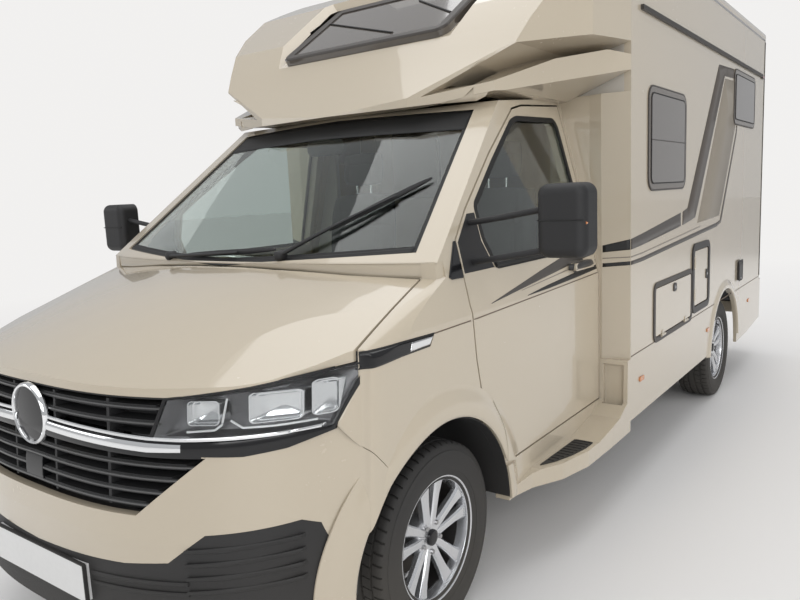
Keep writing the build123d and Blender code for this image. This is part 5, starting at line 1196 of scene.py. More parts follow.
@dataclass
class CabTrim:
    """Seals, badge strips, painted shade lines along the creases, arch lips, handles, wipers and mirror parts of the
    cab.
    """

    frame: dict
    window: tuple = (
        (408, 1238), (354, 1342), (354, 1466), (575, 1628), (822, 1796), (880, 1814), (1262, 1826), (1290, 1800), (1308, 1238),
    )
    screen: tuple = ((-818, 1322), (-679, 1845), (0, 1860), (679, 1845), (818, 1322), (400, 1300), (0, 1283), (-400, 1300))
    arch_middle: tuple[float, float] = (-33, 339)
    arch_radius: float = 440

    def screen_seal(self) -> None:
        """Black edge round the windscreen, its wide dark band at the top, and a thin dark band along its foot."""
        outline = softened(np.array(self.screen, float) / 1000, 240, 0.02)
        for name, low, high, depth in (("screen_edge", -0.020, 0.004, 0.0062),):
            inner, outer = grown(outline, low), grown(outline, high)
            front = np.stack([inner[:, 0], screen_front(inner[:, 0], inner[:, 1] * 1000, depth), inner[:, 1]], -1)
            back = np.stack([outer[:, 0], screen_front(outer[:, 0], outer[:, 1] * 1000, depth), outer[:, 1]], -1)
            Mesh.ring(name, front, back, np.array([0, 0.0045, -0.002]), RUBBER)
        x = np.linspace(-0.672, 0.672, 80)
        top = np.interp(np.abs(x), [0, 0.679], [1.856, 1.842])
        tall = np.linspace(0, 1, 8)[:, None]
        z = top[None] - tall * 0.082
        reach = x[None] * (1 + 0.030 * tall)
        grid = np.stack([reach, screen_front(reach, z * 1000, 0.0068), z], -1)
        Mesh.surface("screen_top_band", grid, RUBBER, flip=True, wall=0.0008)
        low = np.linspace(0, 1, 6)[:, None]
        x = np.linspace(-0.80, 0.80, 80)
        base = 1.283 + 0.039 * (np.abs(x) / 0.818) ** 1.6
        z = base[None] + low * 0.016
        grid = np.stack([np.broadcast_to(x, z.shape), screen_front(np.broadcast_to(x, z.shape), z * 1000, 0.0066), z], -1)
        Mesh.surface("screen_base_band", grid, RUBBER, wall=0.0008)

    def cowl(self) -> None:
        """Painted scuttle between the bonnet's rear edge and the screen's foot, and the foot of each pillar."""
        x = np.linspace(-0.905, 0.905, 160)
        lip = -116 + 1000 * x**2 / 5.836
        foot = np.interp(np.abs(x), [0, 0.2, 0.4, 0.6, 0.7, 0.905], [1.276, 1.272, 1.262, 1.242, 1.234, 1.231])
        share = np.linspace(0, 1, 4)[:, None]
        behind = lip[None] + 2 + 3 * share
        height = 1.2935 + (foot[None] - 1.2935) * share
        grid = np.stack([np.broadcast_to(x, behind.shape), at(0) + behind / 1000, height], -1)
        Mesh.surface("scuttle", grid, PAINT, wall=0.003)
        for side, name in ((1, "left"), (-1, "right")):
            outline = np.array([(0.858, 10), (0.880, 16), (0.906, 24), (0.913, 40), (0.913, 62), (0.858, 62)])
            low = np.stack([side * outline[:, 0], at(0) + outline[:, 1] / 1000, np.full(6, 1.228)], -1)
            high = low * [1, 1, 0] + [-side * 0.004, 0, 1.2925]
            Mesh.prism(f"pillar_foot_{name}", high, low, PAINT)

    def door_trim(self) -> None:
        """Window seals, the belt strip, and the handle with its recess, on each door."""
        outline = softened(np.array(self.window, float), 200, 14)
        for side, name in ((1, "left"), (-1, "right")):
            body = Body.DOOR_LEFT if side > 0 else Body.DOOR_RIGHT
            inner, outer = grown(outline, -14), grown(outline, 9)
            faces = []
            for line in (inner, outer):
                x = side * (cab_side(line[:, 1]) + 0.0006)
                faces.append(np.stack([x, at(0) + line[:, 0] / 1000, line[:, 1] / 1000], -1))
            Mesh.ring(f"window_seal_{name}", faces[0], faces[1], np.array([-side * 0.008, 0, 0]), RUBBER, body=body)
            belt = np.linspace(0, 1, 40)
            line = np.stack([400 + 905 * belt, np.full(40, 1244.0)], -1)
            path = np.stack([side * (cab_side(line[:, 1]) + 0.002), at(0) + line[:, 0] / 1000, line[:, 1] / 1000], -1)
            Mesh.tube(f"belt_strip_{name}", path, 0.0085, RUBBER, body=body, around=10)
            self.handle(side, name, body)

    def handle(self, side: int, name: str, body: Body) -> None:
        """A dark bow handle over a shallow dark cup."""
        t = np.linspace(0, 1, 40)
        behind = 1028 + 224 * t
        bow = np.sin(np.pi * t) ** 0.35
        x = side * (0.938 + 0.003 + 0.030 * bow)
        path = np.stack([x, at(0) + behind / 1000, 1.1675 + 0.006 * np.sin(np.pi * t)], -1)
        Mesh.tube(f"handle_bow_{name}", path, 0.0105 + 0.003 * bow, HANDLE_DARK, body=body, around=14, squash=1.25)
        cup = rounded(0.150, 0.062, 0.03)
        front = np.stack([np.full(len(cup), 0.9382), at(1140) + cup[:, 0], 1.1655 + cup[:, 1]], -1)
        x = cab_side(front[:, 2] * 1000) + 0.0008
        front[:, 0] = x
        back = front - [0.004, 0, 0]
        Mesh.prism(f"handle_cup_{name}", front * [side, 1, 1], back * [side, 1, 1], HANDLE_DARK, body=body)

    def quarter_panels(self) -> None:
        """Fixed black panels on the pillar's foot, in front of the mirror's base."""
        outline = np.array([(74, 1236), (90, 1228), (163, 1226), (163, 1352), (150, 1352)], float)
        for side, name in ((1, "left"), (-1, "right")):
            front = on_side(np.stack([at(0) + outline[:, 0] / 1000, outline[:, 1] / 1000], -1), cab_side(outline[:, 1]) + 0.006)
            back = front - [0.030, 0, 0]
            Mesh.prism(f"quarter_panel_{name}", front * [side, 1, 1], back * [side, 1, 1], GLOSS_BLACK, bevel=0.004)

    def side_decals(self) -> None:
        """Badge strips without any sign on them, and a thin dark strip of painted shade along the crease of wings and
        doors.
        """
        for side, name in ((1, "left"), (-1, "right")):
            wings = self.frame["nodes"]["front_wings"]
            door = self.frame["nodes"][f"cab_door_{name}"]
            body = Body.DOOR_LEFT if side > 0 else Body.DOOR_RIGHT
            upper = np.array([(-404, 1077), (-250, 1080), (-74, 1076)])
            lower = np.array([(-404, 1031), (-250, 1040), (-98, 1042)])
            wrapped(f"badge_strip_{name}", strip_grid(upper, lower, 60, 8), wings, side, GLOSS_BLACK, Body.ROOT, 0.003)
            blade_top = np.array([(-196, 1073), (-80, 1071)])
            blade_low = np.array([(-205, 1047), (-100, 1048)])
            wrapped(f"badge_blade_{name}", strip_grid(blade_top, blade_low, 30, 6), wings, side, CHROME, Body.ROOT, 0.0045)
            lip_top = np.array([(-404, 1083), (-250, 1086), (-70, 1081)])
            lip_low = np.array([(-404, 1077), (-250, 1080), (-74, 1076)])
            wrapped(f"badge_lip_{name}", strip_grid(lip_top, lip_low, 60, 3), wings, side, RUBBER, Body.ROOT, 0.002)
            # Each crease strip is painted shade: a thin dark sheet laid where the crease's shadow falls.
            for part, target, start, end, rides in (
                ("wing", wings, (-70, 1078), (158, 1080), Body.ROOT),
                ("door", door, (178, 1080), (1344, 1110), body),
            ):
                top = np.array([start, end], float) + [0, 2.2]
                low = np.array([start, end], float) - [0, 2.2]
                wrapped(f"crease_{part}_{name}", strip_grid(top, low, 60, 3), target, side, CREASE_SHADE, rides, 0.0004)

    def arch_lip(self, name: str, side: int, angles: tuple, radii: tuple[float, float], proud: float, body: Body, flat: float = 0.0) -> None:
        """A swollen lip round a wheel arch.

        Its section stands proud at the arch's edge and sinks into the panel at the outer radius by a cosine, and it
        is carried round the arch between angles that may differ at its inner and outer edge.

        Args:
            name: Name of the piece.
            side: 1 for the left side and -1 for the right.
            angles: Start at the inner and outer edge, and end at the inner and outer edge, in degrees.
            radii: Inner and outer radius in millimetres.
            proud: How far it stands out.
            body: The body it rides on.
            flat: X of a flat side, or zero for the cab's own side.
        """
        middle = (3400, 339) if flat else self.arch_middle
        share = np.array([0.0, 0.0, 0.0, 0.04, 0.10, 0.18, 0.28, 0.40, 0.52, 0.64, 0.76, 0.88, 1.0, 1.0])
        rise = np.where(share < 0.3, 1.0, 0.5 + 0.5 * np.cos(np.pi * (share - 0.3) / 0.7))
        rise[:4] = [-1.6, -1.2, 0.75, 0.93]
        rise[-1] = -0.25
        start = np.radians(angles[0] + (angles[1] - angles[0]) * share)
        end = np.radians(angles[2] + (angles[3] - angles[2]) * share)
        count = 90
        turn = start[None] + (end - start)[None] * np.linspace(0, 1, count)[:, None]
        radius = (radii[0] + (radii[1] - radii[0]) * share)[None]
        behind = middle[0] + radius * np.cos(turn)
        height = middle[1] + radius * np.sin(turn)
        base = np.full(behind.shape, flat) if flat else flank(behind, height)
        x = base + proud * rise[None]
        grid = np.stack([side * x, at(0) + behind / 1000, height / 1000], -1)
        width = len(share)
        faces = Mesh.grid_faces(count, width, round_columns=True)
        faces += [list(range(width)), [(count - 1) * width + k for k in range(width)]]
        Mesh.piece(name, grid.reshape(-1, 3), faces, PAINT, body=body, sharp=50)

    def arch_band(self, name: str, side: int) -> None:
        """Black liner band just under the edge of the front wheel arch.

        Args:
            name: Name of the piece.
            side: 1 for the left side and -1 for the right.
        """
        turn = np.radians(np.linspace(2, 186, 80))[:, None]
        radius = np.array([437.5, 437.5, 434.5, 434.5])
        behind = self.arch_middle[0] + radius * np.cos(turn)
        height = self.arch_middle[1] + radius * np.sin(turn)
        out = flank(behind, height) + 0.004
        out[:, [0, 3]] = 0.70
        grid = np.stack([side * out, at(0) + behind / 1000, height / 1000], -1)
        faces = Mesh.grid_faces(80, 4, round_columns=True) + [[0, 1, 2, 3], [319, 318, 317, 316]]
        Mesh.piece(name, grid.reshape(-1, 3), faces, BLACK, sharp=40)

    def arches(self) -> None:
        """Lips on wing, door and sill round the front wheels, and round the rear wheels."""
        for side, name in ((1, "left"), (-1, "right")):
            body = Body.DOOR_LEFT if side > 0 else Body.DOOR_RIGHT
            self.arch_lip(f"arch_lip_wing_{name}", side, (24.5, 57.5, 187, 187), (440, 548), 0.017, Body.ROOT)
            self.arch_lip(f"arch_lip_door_{name}", side, (22.0, 17.4, 22.6, 55.0), (446, 548), 0.017, body)
            self.arch_lip(f"arch_lip_sill_{name}", side, (1.0, 1.0, 19.5, 15.8), (440, 520), 0.014, Body.ROOT)
            self.arch_lip(f"arch_lip_rear_{name}", side, (4.0, 4.0, 176, 176), (425, 492), 0.014, Body.ROOT, 1.0895)
            self.arch_band(f"arch_band_{name}", side)

    def wipers(self) -> None:
        """Two wiper arms with their blades, lying on the screen."""
        shapes = []
        for pivot, tip, blade_from, blade_to in (
            ((0.300, 1.316), (0.610, 1.512), (0.428, 1.398), (0.700, 1.572)),
            ((-0.330, 1.308), (0.080, 1.326), (-0.230, 1.313), (0.250, 1.3355)),
        ):
            t = np.linspace(0, 1, 24)[:, None]
            arm = np.array(pivot) * (1 - t) + np.array(tip) * t
            lift = -0.020 - 0.016 * np.sin(np.pi * t[:, 0])
            path = np.stack([arm[:, 0], screen_front(arm[:, 0], arm[:, 1] * 1000) + lift, arm[:, 1]], -1)
            shapes.append(Mesh.tube_data(path, np.linspace(0.012, 0.0065, 24), 12, 0.7))
            blade = np.array(blade_from) * (1 - t) + np.array(blade_to) * t
            path = np.stack([blade[:, 0], screen_front(blade[:, 0], blade[:, 1] * 1000) - 0.007, blade[:, 1]], -1)
            shapes.append(Mesh.tube_data(path, 0.0028 + 0.0055 * np.sin(np.pi * t[:, 0]) ** 0.5, 10, 1.4))
            hub = np.array([(pivot[0], 0.0, pivot[1])] * 5, float)
            face = float(screen_front(np.array(pivot[0]), np.array(pivot[1] * 1000)))
            hub[:, 1] = face + np.array([0.004, -0.016, -0.030, -0.034, -0.036])
            shapes.append(Mesh.tube_data(hub, np.array([0.020, 0.019, 0.017, 0.013, 0.006]), 20))
        points, faces = Mesh.joined(shapes)
        made = Mesh.piece("wiper_arms", points, faces, BLACK, sharp=40)
        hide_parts("wipers")

    def mirrors(self) -> None:
        """Parts on the CAD mirrors: the main and wide silvered glasses, a groove line and a lamp strip."""
        for side, name in ((1, "left"), (-1, "right")):
            body = Body.DOOR_LEFT if side > 0 else Body.DOOR_RIGHT
            glass = rounded(0.138, 0.150, 0.022)
            wide = rounded(0.138, 0.060, 0.018)
            for label, outline, height in (("main", glass, 1.440), ("wide", wide, 1.326)):
                front = np.stack([1.245 + outline[:, 0], np.full(len(outline), at(339)), height + outline[:, 1]], -1)
                Mesh.prism(f"mirror_glass_{label}_{name}", front * [side, 1, 1], (front - [0, 0.004, 0]) * [side, 1, 1], SILVERED, body=body, bevel=0.0008)
            t = np.linspace(0, 1, 30)
            belt = np.stack([1.166 + 0.158 * t, at(231.5) + 0.006 * (2 * t - 1) ** 6, np.full(30, 1.412)], -1)
            Mesh.tube(f"mirror_groove_{name}", belt * [side, 1, 1], 0.0022, RUBBER, body=body, around=8)
            lamp = np.stack([np.full(20, 1.3246), at(0) + np.linspace(250, 318, 20) / 1000, np.linspace(1.402, 1.398, 20)], -1)
            Mesh.tube(f"mirror_lamp_{name}", lamp * [side, 1, 1], 0.005, LAMP_AMBER, body=body, around=8)

    def build(self) -> None:
        """Makes the cab's trim."""
        self.screen_seal()
        self.cowl()
        self.door_trim()
        self.quarter_panels()
        self.side_decals()
        self.arches()
        self.wipers()
        self.mirrors()


@dataclass
class OvercabHood:
    """The hood's shell with soft edges, and its roof window with frame and braces."""

    frame: dict
    edge: float = 0.022
    half: float = 0.490
    low: tuple[float, float] = (800, 2176)
    high: tuple[float, float] = (1300, 2513)

    def shell(self) -> None:
        """The CAD hood's own flat faces joined up and given wide round edges."""
        source = self.frame["nodes"]["overcab_hood"]
        shape = bmesh.new()
        shape.from_mesh(source.data)
        bmesh.ops.remove_doubles(shape, verts=shape.verts, dist=2e-5)
        bmesh.ops.dissolve_limit(
            shape, angle_limit=math.radians(0.8), verts=shape.verts, edges=shape.edges, use_dissolve_boundaries=False
        )
        points = np.array([vertex.co[:] for vertex in shape.verts])
        faces = [[vertex.index for vertex in face.verts] for face in shape.faces]
        shape.free()
        made = Mesh.piece("hood_shell", points, faces, PAINT, bevel=self.edge, sharp=12)
        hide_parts("overcab_hood")

    def closings(self) -> None:
        """Sheets that close the hood's skin beside the cab: over the wing's root and along its lower front lip."""
        for side, name in ((1, "left"), (-1, "right")):
            x, behind = np.meshgrid(np.linspace(0.555, 0.735, 10), np.linspace(676, 1020, 14), indexing="ij")
            z = 1.975 + 0.489 * (x - 0.616)
            grid = np.stack([side * x, at(behind), z], -1)
            Mesh.surface(f"hood_patch_{name}", grid, PAINT, flip=side > 0, wall=0.003)
            line = np.array([(0.560, 628), (0.581, 634), (0.620, 650), (0.658, 664), (0.697, 679), (0.734, 694), (0.752, 703)])
            line = along_curve(line * [1000, 1], 30) / 1000
            low = np.interp(line[:, 0], [0.56, 0.70, 0.735, 0.752], [1.876, 1.877, 1.893, 1.925])
            high = np.interp(line[:, 0], [0.56, 0.66, 0.69], [1.916, 1.916, 1.934])
            z = np.stack([high, low])
            grid = np.stack([np.broadcast_to(side * line[:, 0], z.shape), np.broadcast_to(at(0) + line[:, 1] + 0.003, z.shape), z], -1)
            Mesh.surface(f"hood_lip_{name}", grid, PAINT, flip=side < 0, wall=0.003)

    def roof_window(self) -> None:
        """Dark frame round the tilted pane, and its two cross braces."""
        low, high = np.array(self.low) / 1000, np.array(self.high) / 1000
        run = (high - low) / np.linalg.norm(high - low)
        square = np.array([-run[1], run[0]])
        middle = (low + high) / 2
        length = np.linalg.norm(high - low)
        pane = rounded(2 * self.half - 0.012, length - 0.022, 0.055)
        inner = grown(pane, -0.048)

        def lifted(outline: Array, lift: float) -> Array:
            """The outline laid on the pane's plane, lifted square to it."""
            flat = middle + outline[:, 1:2] * run + square * lift
            return np.stack([outline[:, 0], FRONT_AXLE + flat[:, 0], flat[:, 1]], -1)

        grid = np.stack([lifted(inner, 0.0285), lifted(inner, 0.034), lifted(grown(pane, -0.006), 0.037), lifted(pane, 0.030), lifted(pane, 0.010), lifted(inner, 0.010)])
        Mesh.surface("roof_window_frame", grid, FRAME_DARK, round_rows=True, round_columns=True, sharp=30, bevel=0.002)
        shapes = []
        for start, end in (((-0.44, 0.12), (0.16, -0.20)), ((0.12, 0.16), (0.43, -0.10))):
            t = np.linspace(0, 1, 12)[:, None]
            line = np.array(start) * (1 - t) + np.array(end) * t
            shapes.append(Mesh.tube_data(lifted(line, 0.0295), 0.0075, 8, 0.5))
        points, faces = Mesh.joined(shapes)
        Mesh.piece("roof_window_braces", points, faces, RUBBER)

    def build(self) -> None:
        """Makes the hood."""
        self.shell()
        self.closings()
        self.roof_window()


@dataclass
class Stripes:
    """The graphic bands along both sides: graphite bands, grey fill and thin lines."""

    frame: dict
    wall: float = 1.0902

    def flat_strip(self, name: str, side: int, upper: list, lower: list, finish: Finish, body: Body = Body.ROOT, columns: int = 40) -> None:
        """A band on the flat side wall between two lines of (behind, height)."""
        grid = strip_grid(np.array(upper, float), np.array(lower, float), columns, 3)
        x = self.wall if body == Body.ROOT else self.wall + 0.0041
        front = np.concatenate([np.full(grid.shape[:2] + (1,), side * x), grid], -1)
        Mesh.surface(name, front, finish, flip=side > 0, body=body, wall=0.0007)

    def door_bands(self, side: int, name: str) -> None:
        """Bands on the cab door and its fairing, laid on the panels."""
        door = self.frame["nodes"][f"cab_door_{name}"]
        body = Body.DOOR_LEFT if side > 0 else Body.DOOR_RIGHT
        upper = np.array([(312, 1117), (760, 1185), (1000, 1219), (1130, 1226), (1346, 1232)])
        lower = np.array([(312, 1115), (760, 1152), (1000, 1172), (1130, 1186), (1346, 1196)])
        wrapped(f"band_door_upper_{name}", strip_grid(upper, lower, 80, 6), door, side, STRIPE_DARK, body)
        upper = np.array([(600, 1106), (800, 1122), (1110, 1140), (1346, 1147)])
        lower = np.array([(600, 1104), (800, 1107), (1110, 1117), (1346, 1128)])
        wrapped(f"band_door_lower_{name}", strip_grid(upper, lower, 70, 5), door, side, STRIPE_BLACK, body)
        upper = np.array([(560, 1131), (980, 1158), (1346, 1172)])
        lower = np.array([(560, 1129), (980, 1154), (1346, 1167)])
        wrapped(f"pin_door_{name}", strip_grid(upper, lower, 70, 3), door, side, STRIPE_TAUPE, body)
        fairing = self.frame["nodes"]["pillar_fairings"]
        for label, high, low, finish in (
            ("upper", (1235, 1263), (1202, 1214), STRIPE_BLACK),
            ("lower", (1150, 1160), (1132, 1142), STRIPE_BLACK),
            ("pin", (1176, 1182), (1172, 1177), STRIPE_TAUPE),
        ):
            top = np.array([(1372.8, high[0]), (1397.6, high[1])])
            bottom = np.array([(1372.8, low[0]), (1397.6, low[1])])
            wrapped(f"band_fairing_{label}_{name}", strip_grid(top, bottom, 8, 5), fairing, side, finish, Body.ROOT)

    def wall_bands(self, side: int, name: str) -> None:
        """Bands on the living body's wall; on the right they break at the entry door."""
        bands = [
            ("ramp", [(1400, 1263), (1560, 1277), (2245, 1346)], [(1400, 1214), (1560, 1222), (2281, 1274)], STRIPE_DARK),
            ("outer", [(1400, 1160), (1560, 1163), (2500, 1211), (3098, 1240)], [(1400, 1142), (1560, 1143), (2500, 1187), (3098, 1214)], STRIPE_DARK),
            ("pin", [(1400, 1182), (1560, 1186), (2687, 1246)], [(1400, 1177), (1560, 1181), (2687, 1241)], STRIPE_TAUPE),
        ]
        for label, upper, lower, finish in bands:
            runs = [("", upper[0][0], upper[-1][0], Body.ROOT)]
            if side < 0:
                runs = [("_fore", 1400, 1642, Body.ROOT), ("_door", 1654, 2266, Body.ENTRY), ("_aft", 2274, upper[-1][0], Body.ROOT)]
            for part, start, end, body in runs:
                if end - start > 5:
                    self.flat_strip(f"band_{label}{part}_{name}", side, self.cut(upper, start, end), self.cut(lower, start, end), finish, body)
        self.flat_strip(
            f"band_upright_{name}", side, [(2281, 1278), (2283, 1350), (2382, 1365), (3096, 2240), (3330, 2251)],
            [(2284, 1274), (2557, 1302), (2640, 1400), (3263, 2186), (3330, 2189)], STRIPE_UMBER, columns=90,
        )
        self.flat_strip(f"band_top_{name}", side, [(3330, 2251), (3546, 2260)], [(3330, 2189), (3546, 2198)], STRIPE_UMBER)
        self.flat_strip(f"fill_{name}", side, [(2612, 1267), (3275, 2172), (3550, 2182)], [(3178, 1284), (3400, 1580), (3615, 1882)], FILL_GREY, columns=90)
        self.flat_strip(f"edge_fill_{name}", side, [(3098, 1240), (3200, 1252), (3640, 1840), (3652, 1890)], [(3098, 1214), (3234, 1236), (3665, 1830), (3684, 1888)], STRIPE_UMBER, columns=90)

    @staticmethod
    def cut(line: list, start: float, end: float) -> list:
        """The part of a line of (behind, height) between two places."""
        table = np.array(line, float)
        inner = table[(table[:, 0] > start) & (table[:, 0] < end)]
        ends = [(place, float(np.interp(place, table[:, 0], table[:, 1]))) for place in (start, end)]
        return [ends[0]] + [tuple(row) for row in inner] + [ends[1]]

    def build(self) -> None:
        """Makes the bands of both sides."""
        for side, name in ((1, "left"), (-1, "right")):
            self.door_bands(side, name)
            self.wall_bands(side, name)


@dataclass
class LivingBody:
    """Frames, locks, lamps, handles and covers on the living body."""

    left_windows: tuple = ((1980, 1732, 670, 504, 70), (3915, 2081, 730, 372, 60))
    right_windows: tuple = ((2810, 1732, 670, 504, 70), (3915, 2081, 730, 372, 60))

    def side_ring(
        self, name: str, side: int, opening: tuple, outside: tuple[float, float], x: tuple[float, float], finish: Finish, body: Body = Body.ROOT, **options: object
    ) -> None:
        """A rounded frame on a side wall.

        Args:
            name: Name of the piece.
            side: 1 for the left side and -1 for the right.
            opening: Middle behind the axle, middle height, width, height and corner radius in millimetres.
            outside: How far the inner and outer edges lie outside the opening, in millimetres.
            x: How far out the frame starts and ends, in metres.
            finish: The finish it wears.
            body: The body it rides on.
            options: As in piece.
        """
        behind, height, wide, tall, corner = opening
        edges = []
        for extra in outside:
            line = rounded(wide + 2 * extra, tall + 2 * extra, max(corner + extra, 3), 10) / 1000
            edges.append(np.stack([np.full(len(line), x[1]), at(behind) + line[:, 0], height / 1000 + line[:, 1]], -1))
        points = [edge * [side, 1, 1] for edge in edges]
        Mesh.ring(name, points[0], points[1], np.array([side * (x[0] - x[1]), 0, 0]), finish, body=body, **options)

    def slab(self, name: str, side: int, opening: tuple, x: tuple[float, float], finish: Finish, body: Body = Body.ROOT, **options: object) -> None:
        """A rounded plate on a side wall, from its middle, width, height and corner radius in millimetres."""
        behind, height, wide, tall, corner = opening
        line = rounded(wide, tall, corner, 8) / 1000
        outer = np.stack([np.full(len(line), x[1]), at(behind) + line[:, 0], height / 1000 + line[:, 1]], -1)
        inner = outer + [x[0] - x[1], 0, 0]
        Mesh.prism(name, outer * [side, 1, 1], inner * [side, 1, 1], finish, body=body, **options)

    def windows(self) -> None:
        """Soft black seals and lips round each acrylic pane, and the blind's fold line across the first pane on each
        side.
        """
        for side, name, table in ((1, "left", self.left_windows), (-1, "right", self.right_windows)):
            for number, window in enumerate(table):
                self.side_ring(f"window_seal_{name}_{number}", side, window, (-6, 3), (1.090, 1.0965), FRAME_DARK, bevel=0.0015)
                self.side_ring(f"window_lip_{name}_{number}", side, window, (-38, -32), (1.096, 1.0998), RUBBER)
                behind, height, wide, tall, _ = window
                if number == 0:
                    line = (behind, height - 6, wide - 84, 5, 2)
                    self.slab(f"blind_line_{name}", side, line, (1.0975, 1.0995), FRAME_DARK)

    def flaps(self) -> None:
        """Frames and locks of the service flap, the toilet flap and the garage door, and the supply inlet."""
        self.side_ring("service_frame", 1, (2125, 852, 690, 250, 18), (5, 32), (1.090, 1.0965), FRAME_DARK, bevel=0.001)
        self.side_ring("toilet_frame", 1, (2707, 937, 330, 330, 18), (5, 46), (1.090, 1.099), FRAME_BLACK, bevel=0.002)
        self.side_ring("garage_frame", -1, (4290, 1130, 600, 720, 30), (5, 26), (1.090, 1.096), FRAME_DARK, bevel=0.001)
        locks = [
            ("service_lock", 1, (2125, 944, 58, 46, 16), Body.SERVICE),
            ("toilet_lock", 1, (2838, 937, 34, 60, 14), Body.TOILET),
            ("garage_lock_low", -1, (4540, 900, 46, 58, 16), Body.GARAGE),
            ("garage_lock_high", -1, (4540, 1360, 46, 58, 16), Body.GARAGE),
        ]
        for name, side, opening, body in locks:
            self.slab(name, side, opening, (1.093, 1.0995), HANDLE_DARK, body, bevel=0.0015)
            key = (opening[0], opening[1], 16, 16, 7.5)
            self.slab(f"{name}_core", side, key, (1.099, 1.1012), SATIN, body, bevel=0.0006)
        self.side_ring("inlet_frame", 1, (3865, 843, 130, 140, 12), (-10, 8), (1.1015, 1.1045), BLACK, bevel=0.0015)
        self.slab("inlet_cover", 1, (3865, 838, 92, 104, 10), (1.101, 1.1050), HANDLE_DARK, bevel=0.002)
        self.slab("inlet_catch", 1, (3865, 784, 30, 10, 4), (1.101, 1.1075), SATIN, bevel=0.001)

    def entry(self) -> None:
        """The entry door's frame seal, its window seal, lock and handle, its grab rail and the porch light above it."""
        self.side_ring("entry_frame", -1, (1960, 1592, 620, 1740, 60), (5, 28), (1.090, 1.0965), FRAME_DARK, bevel=0.001)
        self.side_ring("entry_window_seal", -1, (1960, 1950, 330, 420, 50), (-10, 14), (1.094, 1.0985), RUBBER, Body.ENTRY, bevel=0.001)
        self.slab("entry_lock", -1, (2215, 1300, 62, 190, 20), (1.093, 1.1005), HANDLE_DARK, Body.ENTRY, bevel=0.002)
        t = np.linspace(0, 1, 24)
        bow = np.stack([-(1.100 + 0.028 * np.sin(np.pi * t) ** 0.4), np.full(24, at(2206)), 1.24 + 0.12 * t], -1)
        Mesh.tube("entry_handle", bow, 0.008, HANDLE_DARK, body=Body.ENTRY, around=12)
        rail = np.stack([-(1.090 + 0.040 * np.sin(np.pi * t) ** 0.35), np.full(24, at(2400)), 1.15 + 0.34 * t], -1)
        Mesh.tube("grab_rail", rail, 0.011, SATIN, around=14)
        self.slab("porch_light", -1, (1960, 2505, 260, 34, 14), (1.090, 1.1035), LIGHT_COVER, bevel=0.003)

    def lamps(self) -> None:
        """Marker lamps, tail lamp lenses with their rings, and the high brake lamp."""
        for side, name, rail in ((1, "left", 2316), (-1, "right", 2530)):
            self.slab(f"marker_rear_{name}", side, (4590, rail - 6, 52, 20, 7), (1.0995, 1.1015), LAMP_RED, bevel=0.0008)
            for number, behind in enumerate((1560, 2920, 4250)):
                self.slab(f"marker_side_{name}_{number}", side, (behind, 560, 66, 24, 9), (1.090, 1.0965), LAMP_AMBER, bevel=0.001)
        rear = at(4936)
        for side, name in ((1, "left"), (-1, "right")):
            outer, inner = rounded(0.130, 0.300, 0.022, 8), rounded(0.112, 0.282, 0.016, 8)
            place = np.array([side * 0.76, rear + 0.0004, 0.90])
            line = [np.stack([edge[:, 0], np.zeros(len(edge)), edge[:, 1]], -1) + place for edge in (inner, outer)]
            Mesh.ring(f"tail_ring_{name}", line[0], line[1], np.array([0, -0.010, 0]), CHROME, bevel=0.001)
            for label, low, tall, finish in (("turn", 0.99, 0.074, LAMP_AMBER), ("stop", 0.903, 0.080, LAMP_RED), ("back", 0.814, 0.078, LIGHT_COVER)):
                turn = np.linspace(0, 2 * np.pi, 48, endpoint=False)
                rows = np.array([(0.0, 0.0), (0.0, 0.012), (0.004, 0.024), (0.004, 0.031), (0.0, 0.035), (-0.006, 0.036), (-0.006, 0.0)])
                grid = np.stack([np.outer(np.cos(turn), rows[:, 1]), np.broadcast_to(rows[:, 0], (48, 7)), np.outer(np.sin(turn), rows[:, 1])], -1)
                Mesh.surface(f"tail_{label}_{name}", grid + [side * 0.76, rear - 0.001, low - 0.003], finish, round_rows=True, round_columns=True)
        wide = np.array([-0.19, 0.19])
        t = np.linspace(*wide, 20)
        Mesh.tube("high_brake_lamp", np.stack([t, np.full(20, at(4899)), np.full(20, 2.40)], -1), 0.012, LAMP_RED, around=12)

    def rear(self) -> None:
        """Blank rear plate, the ribs of the bumper's step pad, the tall corner seams, and the rails and seams along the
        roof and floor edges.
        """
        rear = at(4972)
        plate = rounded(0.52, 0.11, 0.006)
        front = np.stack([plate[:, 0], np.full(len(plate), rear - 0.0004), 0.535 + plate[:, 1]], -1)
        Mesh.prism("rear_plate", front, front - [0, 0.006, 0], PLATE)
        for number, height in enumerate((0.668, 0.652, 0.636)):
            t = np.linspace(-0.80, 0.80, 40)
            path = np.stack([t, np.full(40, rear - 0.0049), np.full(40, height)], -1)
            Mesh.tube(f"bumper_rib_{number}", path, 0.0048, BLACK, around=8)
        for side, name in ((1, "left"), (-1, "right")):
            t = np.linspace(0, 1, 40)
            seam = np.stack([np.full(40, side * 1.0903), np.full(40, at(4680)), 0.71 + 1.88 * t], -1)
            Mesh.tube(f"corner_seam_{name}", seam, 0.004, RUBBER, around=8)
            top = np.stack([np.full(60, side * 1.0900), at(0) + np.linspace(1.405, 4.66, 60), np.full(60, 2.602)], -1)
            Mesh.tube(f"roof_edge_rail_{name}", top, 0.006, SATIN, around=8)
            low = np.stack([np.full(60, side * 1.0885), at(0) + np.linspace(1.405, 4.68, 60), np.full(60, 0.702)], -1)
            Mesh.tube(f"floor_edge_seam_{name}", low, 0.0035, CREASE_SHADE, around=8)

